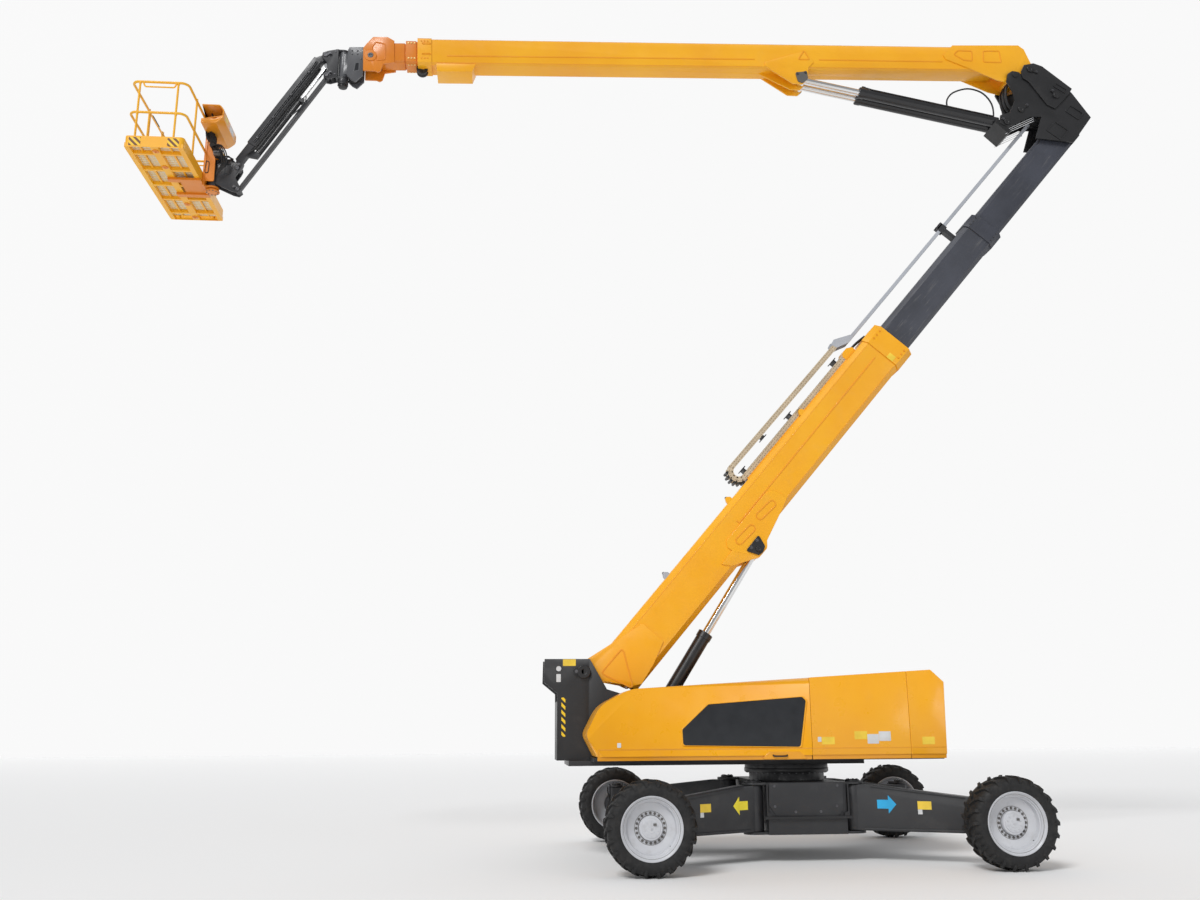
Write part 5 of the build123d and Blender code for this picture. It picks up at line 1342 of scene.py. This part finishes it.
under = [[onJib(0.20, -0.012, y), onJib(0.32, -0.022, y), onJib(0.84, -0.022, y), onJib(1.10, -0.022, y),
          onJib(1.98, -0.022, y), onJib(2.12, 0.012, y), onJib(2.22, 0.026, y * 0.9)]
         for y in (-0.060, -0.042, 0.042, 0.060)]
hoses("jib_under_hoses", "jib", under, 0.009)
Shape(onJib).both(stroke([(0.80, -0.160), (0.880, -0.199), (1.054, -0.199), (1.218, -0.160)], 0.014), 0.046,
                  0.066) \
    .done("jib_guard_arch", "jib", "jibGrey", 0.003)
Shape(onJib).both(rect(0.86, -0.175, 0.93, -0.10), 0.045, 0.062) \
    .done("jib_guard_foot", "jib", "jibGrey", 0.003)
bolts("jib_gland_bolts", "jib", around(onJib(0.860, jibSide["cylinder"]), onJib(-1, 0) - onJib(0, 0), 0.034,
                                       6, onJib(0, 1) - onJib(0, 0), (0, 1, 0)), 0.0055, 0.005)
tubes("jib_cylinder_pipes", "jib", [[onJib(s, jibSide["cylinder"] + 0.044, y) for s in (0.93, 1.98)]
                                    for y in (-0.022, 0.022)], 0.005, "boltSteel", 0.02, 8)
for name, body, place, at in (("jib_foot", "jib", onJib, 0.0), ("jib_tip", "jib", onJib, jibSide["length"]),
                              ("link_foot", "jib_link", onLink, 0.0),
                              ("link_tip", "jib_link", onLink, jibSide["length"])):
    ring = Shape()
    for way in (1, -1):
        ring.lathe(place(at, 0, way * 0.0545), (0, way, 0), [(-0.002, 0.030), (-0.002, 0.043), (0.004, 0.043),
                                                            (0.005, 0.030)], 28)
    ring.done(name + "_bush", body, "boltSteel")
slots = [stadium(s, 0.0, 0.26, 0.030) for s in jibSide["linkSlots"]]
windows("jib_link_slots", "jib_link", onLink, slots, 0.040, "jibGrey", 0.006, 0.003)
Shape(onLink).both(slots[0], 0.036, 0.0412).both(slots[1], 0.036, 0.0412) \
    .done("jib_link_slot_glints", "jib_link", "headGrey")
endX, endZ = onJib(jibSide["length"]).xz
lowX, lowZ = onLink(jibSide["length"]).xz
for name, x, z, size, keeper in (("jib_end_pin", endX, endZ, 0.038, (endX + 0.028, endZ + 0.050)),
                                 ("jib_end_link_pin", lowX, lowZ, 0.036, (lowX - 0.048, lowZ + 0.030))):
    pinCap(name, "jib_end", onSide, x, z, jibSide["endFace"], size, "boltSteel", keeper, 0.016)
print("jib dressed")

# basket: striped patches, mesh floor, beam bosses, braces and the rails' fittings
basket = {
    "left": -9.870, "right": -9.010, "half": 1.220, "low": 10.195, "floor": 10.262,
    "mesh": 0.058, "wire": 0.0042, "patch": (0.17, 0.135, 0.003),
    "outerPatches": (-1.10, -0.36, 0.20, 0.94), "rail": 1.201,
}
toeLow = basket["low"] + 0.020


def hazardPatch(name, x, y, along, out, look):
    # a flat striped patch that stands just off the board
    length, height, proud = basket["patch"]
    corner, along, out = Vector((x, y, toeLow)), Vector(along), Vector(out)
    Shape(lambda a, b, off: corner + along * a + Vector((0, 0, b)) + out * off) \
        .prism(rect(0, 0, length, height), 0, proud).done(name, "basket", look)


for side, way in (("near", -1), ("far", 1)):
    for end, x in (("rear", basket["right"] - 0.066 - 0.17), ("front", basket["left"] + 0.066)):
        hazardPatch(f"basket_stripes_{end}_{side}", x, way * basket["half"], (1, 0, 0), (0, way, 0),
                    "hazardBoard")
for k, y in enumerate(basket["outerPatches"]):
    hazardPatch(f"basket_stripes_outer_{k}", basket["left"], y, (0, 1, 0), (-1, 0, 0), "hazardEnd")


def meshFloor(name, x0, x1, y0, y1, z):
    # wire mesh: two sets of thin bars, one over the other
    spacing, half, shape = basket["mesh"], basket["wire"] / 2, Shape()
    count = int((x1 - x0) / spacing)
    for k in range(count + 1):
        x = x0 + (x1 - x0) * k / count
        shape.box((x - half, y0, z), (x + half, y1, z + basket["wire"]))
    count = int((y1 - y0) / spacing)
    for k in range(count + 1):
        y = y0 + (y1 - y0) * k / count
        shape.box((x0, y - half, z - basket["wire"]), (x1, y + half, z))
    return shape.done(name, "basket", "wireYellow")


meshFloor("basket_mesh", basket["left"] + 0.045, basket["right"] - 0.045, -1.175, 1.175,
          basket["floor"] - 0.002)
beam = {"x": -9.440, "bosses": (-0.62, 0.62, -1.10, 1.10)}
bosses = Shape()
for y in beam["bosses"]:
    bosses.lathe((beam["x"], y, basket["low"]), (0, 0, -1), [(-0.004, 0.048), (0.010, 0.048), (0.014, 0.034),
                                                             (0.014, 0.018), (0.004, 0.016), (0.004, 0)], 28)
bosses.done("basket_beam_bosses", "basket", "noseOrange", 0.002)
arms = Shape()
for y in (-0.30, 0.20):
    arms.box((-9.50, y, basket["low"] - 0.040), (-8.985, y + 0.10, basket["low"] + 0.002))
arms.box((-9.34, -0.20, basket["low"] - 0.012), (-9.00, 0.20, basket["low"] + 0.002))
arms.done("basket_support_arms", "basket", "noseOrange", 0.006)
# cross braces under the mesh
braces = Shape(lambda a, b, y=0.0: Vector((a, b, y)))
for x in (-9.66, -9.225):
    braces.prism(stroke([(x, -1.17), (x, 1.17)], 0.026), basket["floor"] - 0.034, basket["floor"] - 0.008)
braces.done("basket_floor_braces", "basket", "basketYellow", 0.003)
# rail fittings: ferrules at the posts and the gate's latch
posts = [(x, y) for x in (basket["left"] + 0.140, basket["right"] - 0.160)
         for y in (-basket["rail"], basket["rail"])]
ferrules = Shape()
for x, y in posts:
    for z in (10.780, 11.291):
        ferrules.lathe((x, y, z - 0.034), (0, 0, 1), [(0, 0.0165), (0.002, 0.0200), (0.016, 0.0195),
                                                      (0.018, 0.0165)], 20)
ferrules.done("basket_rail_ferrules", "basket", "basketYellow")
gateZ = 10.790
Shape().box((-9.868, -0.345, gateZ - 0.018), (-9.834, -0.285, gateZ + 0.018)) \
    .done("basket_gate_latch", "basket_gate", "boltSteel", 0.004)
# black rubber grip on the gate rail
tubes("basket_gate_grip", "basket_gate", [[(-9.851, -0.20, 11.300), (-9.851, 0.12, 11.300)]], 0.0175,
      "blackPlastic", 0.01, 14)

# upright between basket and rotator, its oval handles and the orange bracket plates
outline = [(-9.012, 10.230), (-8.830, 10.230), (-8.835, 10.620), (-8.905, 10.790), (-8.925, 11.050),
           (-9.012, 11.050)]
Shape().both(rounded(outline, [0.01, 0.03, 0.08, 0.08, 0.02, 0.01], 4), 0.128, 0.150) \
    .done("basket_upright_plates", "basket", "noseOrange", 0.004)
oval = rounded([(-8.988, 10.360), (-8.925, 10.370), (-8.918, 10.560), (-8.975, 10.590)], 0.03, 5)
windows("basket_upright_handles", "basket", onSide, [oval], 0.150, "frameBlack", 0.010, 0.012)
Shape().lathe((-8.880, 0, 10.118), (0, 0, 1), [(-0.014, 0), (-0.014, 0.105), (-0.010, 0.112), (0.004, 0.112),
                                               (0.006, 0.098)], 36) \
    .done("rotator_flange", "basket", "noseOrange", 0.002)
bolts("rotator_bolts", "basket", around((-8.880, 0, 10.104), (0, 0, -1), 0.088, 10), 0.008, 0.006)
windows("jib_end_window", "jib_end", onSide, [rounded([(-8.70, 10.36), (-8.60, 10.40), (-8.60, 10.56),
                                                       (-8.70, 10.58)], 0.03, 4)], jibSide["endFace"],
        "jibGrey", 0.014, 0.007)

# console: rolled rim, sloping control panel, joysticks, switches and plates
console = {
    "near": -0.500, "far": 0.300, "rim": 0.011, "panelX": -9.006, "slope": 0.196,
    "panelUp": (-0.060, 0, 0.306),
    "sticks": [(-8.86, -0.36), (-8.86, -0.20), (-8.86, 0.10)],
    "switches": [(x, y) for x in (-8.95, -8.78) for y in (-0.42, -0.30, -0.12, -0.02, 0.06, 0.18)],
    "stop": (-8.95, -0.21, 11.156),
    "plates": [(-0.40, -0.22, 11.175, 11.255, "labelYellow"), (-0.10, 0.14, 11.160, 11.270, "labelWhite")],
}
rimLine = [(-9.005, 11.060), (-8.775, 11.060), (-8.672, 11.148), (-8.672, 11.284), (-8.734, 11.362),
           (-9.005, 11.362)]
curve = rounded(rimLine, [0, 0.05, 0.05, 0.05, 0.05, 0], 5)
hoses("console_rim", "basket", [[(x, y, z) for x, z in curve]
                                for y in (console["near"] - 0.001, console["far"] + 0.001)],
      console["rim"], "consoleOrange", 0.03, 12)
Shape().prism([(console["panelX"], 11.130), (-8.700, 11.190), (-8.700, 11.205), (console["panelX"], 11.145)],
              -0.47, 0.27).done("console_panel", "basket", "consoleOrange", 0.004)
stickBase, sticks = Shape(), Shape()
panelUp = Vector(console["panelUp"]).normalized()


def onPanel(x, y, base):
    return Vector((x, y, base + (x - console["panelX"]) * console["slope"]))


for x, y in console["sticks"]:
    foot = onPanel(x, y, 11.145)
    stickBase.lathe(foot, panelUp, [(0, 0.034), (0.006, 0.036), (0.014, 0.030), (0.024, 0.018),
                                    (0.034, 0.014), (0.034, 0)], 20)
    sticks.lathe(foot + panelUp * 0.030, panelUp, [(0, 0.007), (0.045, 0.007), (0.050, 0.015), (0.085, 0.016),
                                                   (0.098, 0.010), (0.100, 0)], 16)
stickBase.done("console_gaiters", "basket", "blackPlastic", 0)
sticks.done("console_joysticks", "basket", "blackPlastic", 0)
bolts("console_switches", "basket", [(onPanel(x, y, 11.147), tuple(panelUp)) for x, y in console["switches"]],
      0.010, 0.012, "blackPlastic")
bolts("console_stop_button", "basket", [(console["stop"], tuple(panelUp))], 0.019, 0.024, "stopRed")
for k, (y0, y1, z0, z1, look) in enumerate(console["plates"]):
    Shape().box((-8.6665, y0, z0), (-8.6640, y1, z1)).done(f"console_plate_{k}", "basket", look)

# the black hose bundle from the console, down the upright and over to the jib's end
bundle = []
for k in range(21):
    y = -0.225 + 0.032 * (k % 7)
    lean = 0.045 * (k // 7 - 1) + 0.014 * math.sin(k * 2.1)
    bundle.append([(-8.945 + lean, y, 11.075), (-8.925 + lean, y * 0.95, 10.95),
                   (-8.880 - lean, y * 0.85, 10.82), (-8.800 + lean, y * 0.72, 10.72 + lean),
                   (-8.735 - lean, y * 0.60, 10.66), (-8.690, y * 0.46, 10.60 + lean)])
hoses("basket_hose_bundle", "basket", bundle, 0.013)
loops = [[(-8.90, -0.20 - 0.02 * k, 10.86 - 0.03 * k), (-8.80 + 0.02 * k, -0.235 - 0.015 * k, 10.80),
          (-8.735 + 0.03 * k, -0.235, 10.66), (-8.720 + 0.02 * k, -0.19, 10.50),
          (-8.80, -0.150, 10.40 - 0.02 * k)] for k in range(4)]
hoses("basket_hose_loops", "basket", loops, 0.010)
tail = [[(endX - 0.06 - 0.02 * k, 0.110 * way, endZ + 0.13),
         (endX - 0.16, 0.122 * way, endZ + 0.175 + 0.012 * k), (endX - 0.24, 0.112 * way, endZ + 0.150),
         (endX - 0.31, 0.095 * way, endZ + 0.10 - 0.02 * k)] for k in range(2) for way in (-1, 1)]
hoses("jib_end_hoses", "jib_end", tail, 0.012)
Shape().box((-8.86, -0.215, 10.660), (-8.76, -0.155, 10.735)) \
    .done("basket_valve_block", "basket", "keeperGrey", 0.004)
bolts("basket_valve_caps", "basket", [((x, -0.215, 10.70), (0, -1, 0)) for x in (-8.84, -8.81, -8.78)],
      0.011, 0.020, "boltSteel")
print("basket dressed")

# chassis: side plate bolts and brackets, arrows, tags, pin caps and drive motors
chassis = {
    "face": 1.118, "top": 1.038, "pivot": (0.700, 0.900), "king": (2.311, 1.780), "motor": (1.955, 0.5775),
    "bolts": [(-0.455, 0.996), (0.420, 0.996), (-0.455, 0.730), (-0.173, 0.658), (0.175, 0.658),
              (0.400, 0.730)],
    "arrow": [(0.0, 0.052), (0.0, -0.052), (0.135, -0.052), (0.135, -0.108), (0.232, 0.0), (0.135, 0.108),
              (0.135, 0.052)],
    "armFace": 0.1085, "arrowFoot": 0.748, "arrowScale": 1.1,
    "cap": [(-0.004, 0.095), (0.022, 0.095), (0.028, 0.088), (0.028, 0.040), (0.020, 0.034), (0.020, 0)],
    "kingCap": [(-0.002, 0.078), (0.020, 0.078), (0.026, 0.070), (0.026, 0)],
    "motorCap": [(-0.004, 0.140), (0.014, 0.140), (0.018, 0.100), (0.026, 0.100), (0.030, 0.060), (0.030, 0)],
}
pivotX, pivotY = chassis["pivot"]
kingX, kingY = chassis["king"]
collarBolts("chassis_plate_bolts", "chassis", onSide, chassis["bolts"], chassis["face"], "boltSteel", 0.013)
brackets = Shape()
for way in (-1, 1):
    brackets.both([(way * 0.572, 0.600), (way * 0.500, 0.600), (way * 0.500, 0.640), (way * 0.548, 0.660),
                   (way * 0.548, 1.030), (way * 0.572, 1.030)][::way], chassis["face"],
                  chassis["face"] + 0.022)
brackets.both(rect(-0.60, 0.566, 0.60, 0.600), chassis["face"], chassis["face"] + 0.030)
brackets.done("chassis_side_brackets", "chassis", "frameBlack", 0.003)
pivots = [(wx * pivotX, wy * pivotY) for wx in (-1, 1) for wy in (-1, 1)]
caps = Shape()
for x, y in pivots:
    caps.lathe((x, y, chassis["top"]), (0, 0, 1), chassis["cap"], 36)
caps.done("arm_pivot_caps", "chassis", "frameBlack", 0.002)
bolts("arm_pivot_bolts", "chassis", [spot for x, y in pivots
                                     for spot in around((x, y, chassis["top"] + 0.028), (0, 0, 1), 0.068,
                                                        6)], 0.011, 0.009)


def armPlace(wx, wy):
    # a place on an axle arm: along it, height, and out from its middle plane
    foot, tip = Vector((wx * pivotX, wy * pivotY, 0)), Vector((wx * kingX, wy * kingY, 0))
    along = (tip - foot).normalized()
    out = Vector((-along.y, along.x, 0)) * (wx * wy)
    return (lambda a, b, y=0.0: foot + along * a + out * y + Vector((0, 0, b))), (tip - foot).length


for corner, wx, wy in corners:
    place, reach = armPlace(wx, wy)
    body = "axle_arm_" + corner
    look, labelAt, start = ("arrowYellow", 0.84, 0.20) if wx < 0 else ("arrowBlue", 0.88, 0.345)
    face, foot, scale = chassis["armFace"], chassis["arrowFoot"], chassis["arrowScale"]
    Shape(place).prism([(start + a * scale, foot + b * scale) for a, b in chassis["arrow"]], face,
                       face + 0.002) \
        .done("arm_arrow_" + corner, body, look)
    tags = ((labelAt, 0.690, 0.180, 0.105, "labelYellow"),
            (labelAt if wx > 0 else labelAt + 0.122, 0.628, 0.058, 0.060, "labelWhite"))
    for k, (a, b, wide, tall, tag) in enumerate(tags):
        Shape(place).prism(rect(a, b, a + wide, b + tall), face, face + 0.0017) \
            .done(f"arm_tag_{k}_{corner}", body, tag)
    rib = Shape(place)
    for way in (1, -1):
        for ends in ([(0.16, 0.425), (reach - 0.12, 0.425)], [(0.27, 0.982), (reach - 0.34, 0.850)]):
            rib.prism(stroke(ends, 0.022), *span(way, 0.104, 0.120))
    rib.done("arm_flanges_" + corner, body, "chassisGrey", 0.003)
    Shape().lathe((wx * kingX, wy * kingY, 0.8995), (0, 0, 1), chassis["kingCap"], 32) \
        .done("kingpin_cap_" + corner, "knuckle_" + corner, "frameBlack", 0.002)
    bolts("kingpin_bolts_" + corner, "knuckle_" + corner,
          around((wx * kingX, wy * kingY, 0.9255), (0, 0, 1), 0.056, 4), 0.010, 0.008)
    y, z = chassis["motor"]
    Shape().lathe((wx * kingX, wy * y, z), (0, -wy, 0), chassis["motorCap"], 36) \
        .done("drive_motor_" + corner, "knuckle_" + corner, "frameBlack", 0.003)
    hoses("drive_hoses_" + corner, "knuckle_" + corner,
          [[(wx * kingX + d * out, wy * y, z) for out, y, z in ((1, 1.906, 0.60), (1.3, 1.895, 0.70),
                                                                (1.6, 1.915, 0.82), (1.5, 1.945, 0.862))]
           for d in (-0.09, 0.09)], 0.010)

# slew ring: bolt circle, seal and the black rail under the hoods
bolts("slew_ring_bolts", "chassis", around((0, 0, 1.1455), (0, 0, -1), 0.572, 36), 0.013, 0.012)
Shape().lathe((0, 0, 1.150), (0, 0, 1), [(0, 0.598), (0, 0.604), (0.012, 0.608), (0.050, 0.608),
                                         (0.056, 0.604), (0.056, 0.598)], 72).done("slew_ring_seal",
                                                                                   "chassis", "frameBlack")
for k, way in enumerate((-1, 1)):
    Shape().box(*((x, y, z) for x, y, z in zip((-2.86, 1.88), span(way, 1.150, 1.204), (1.338, 1.352)))) \
        .done(f"deck_edge_rail_{k}", "turntable", "frameBlack", 0.003)
print("chassis dressed")

print("pieces ready")
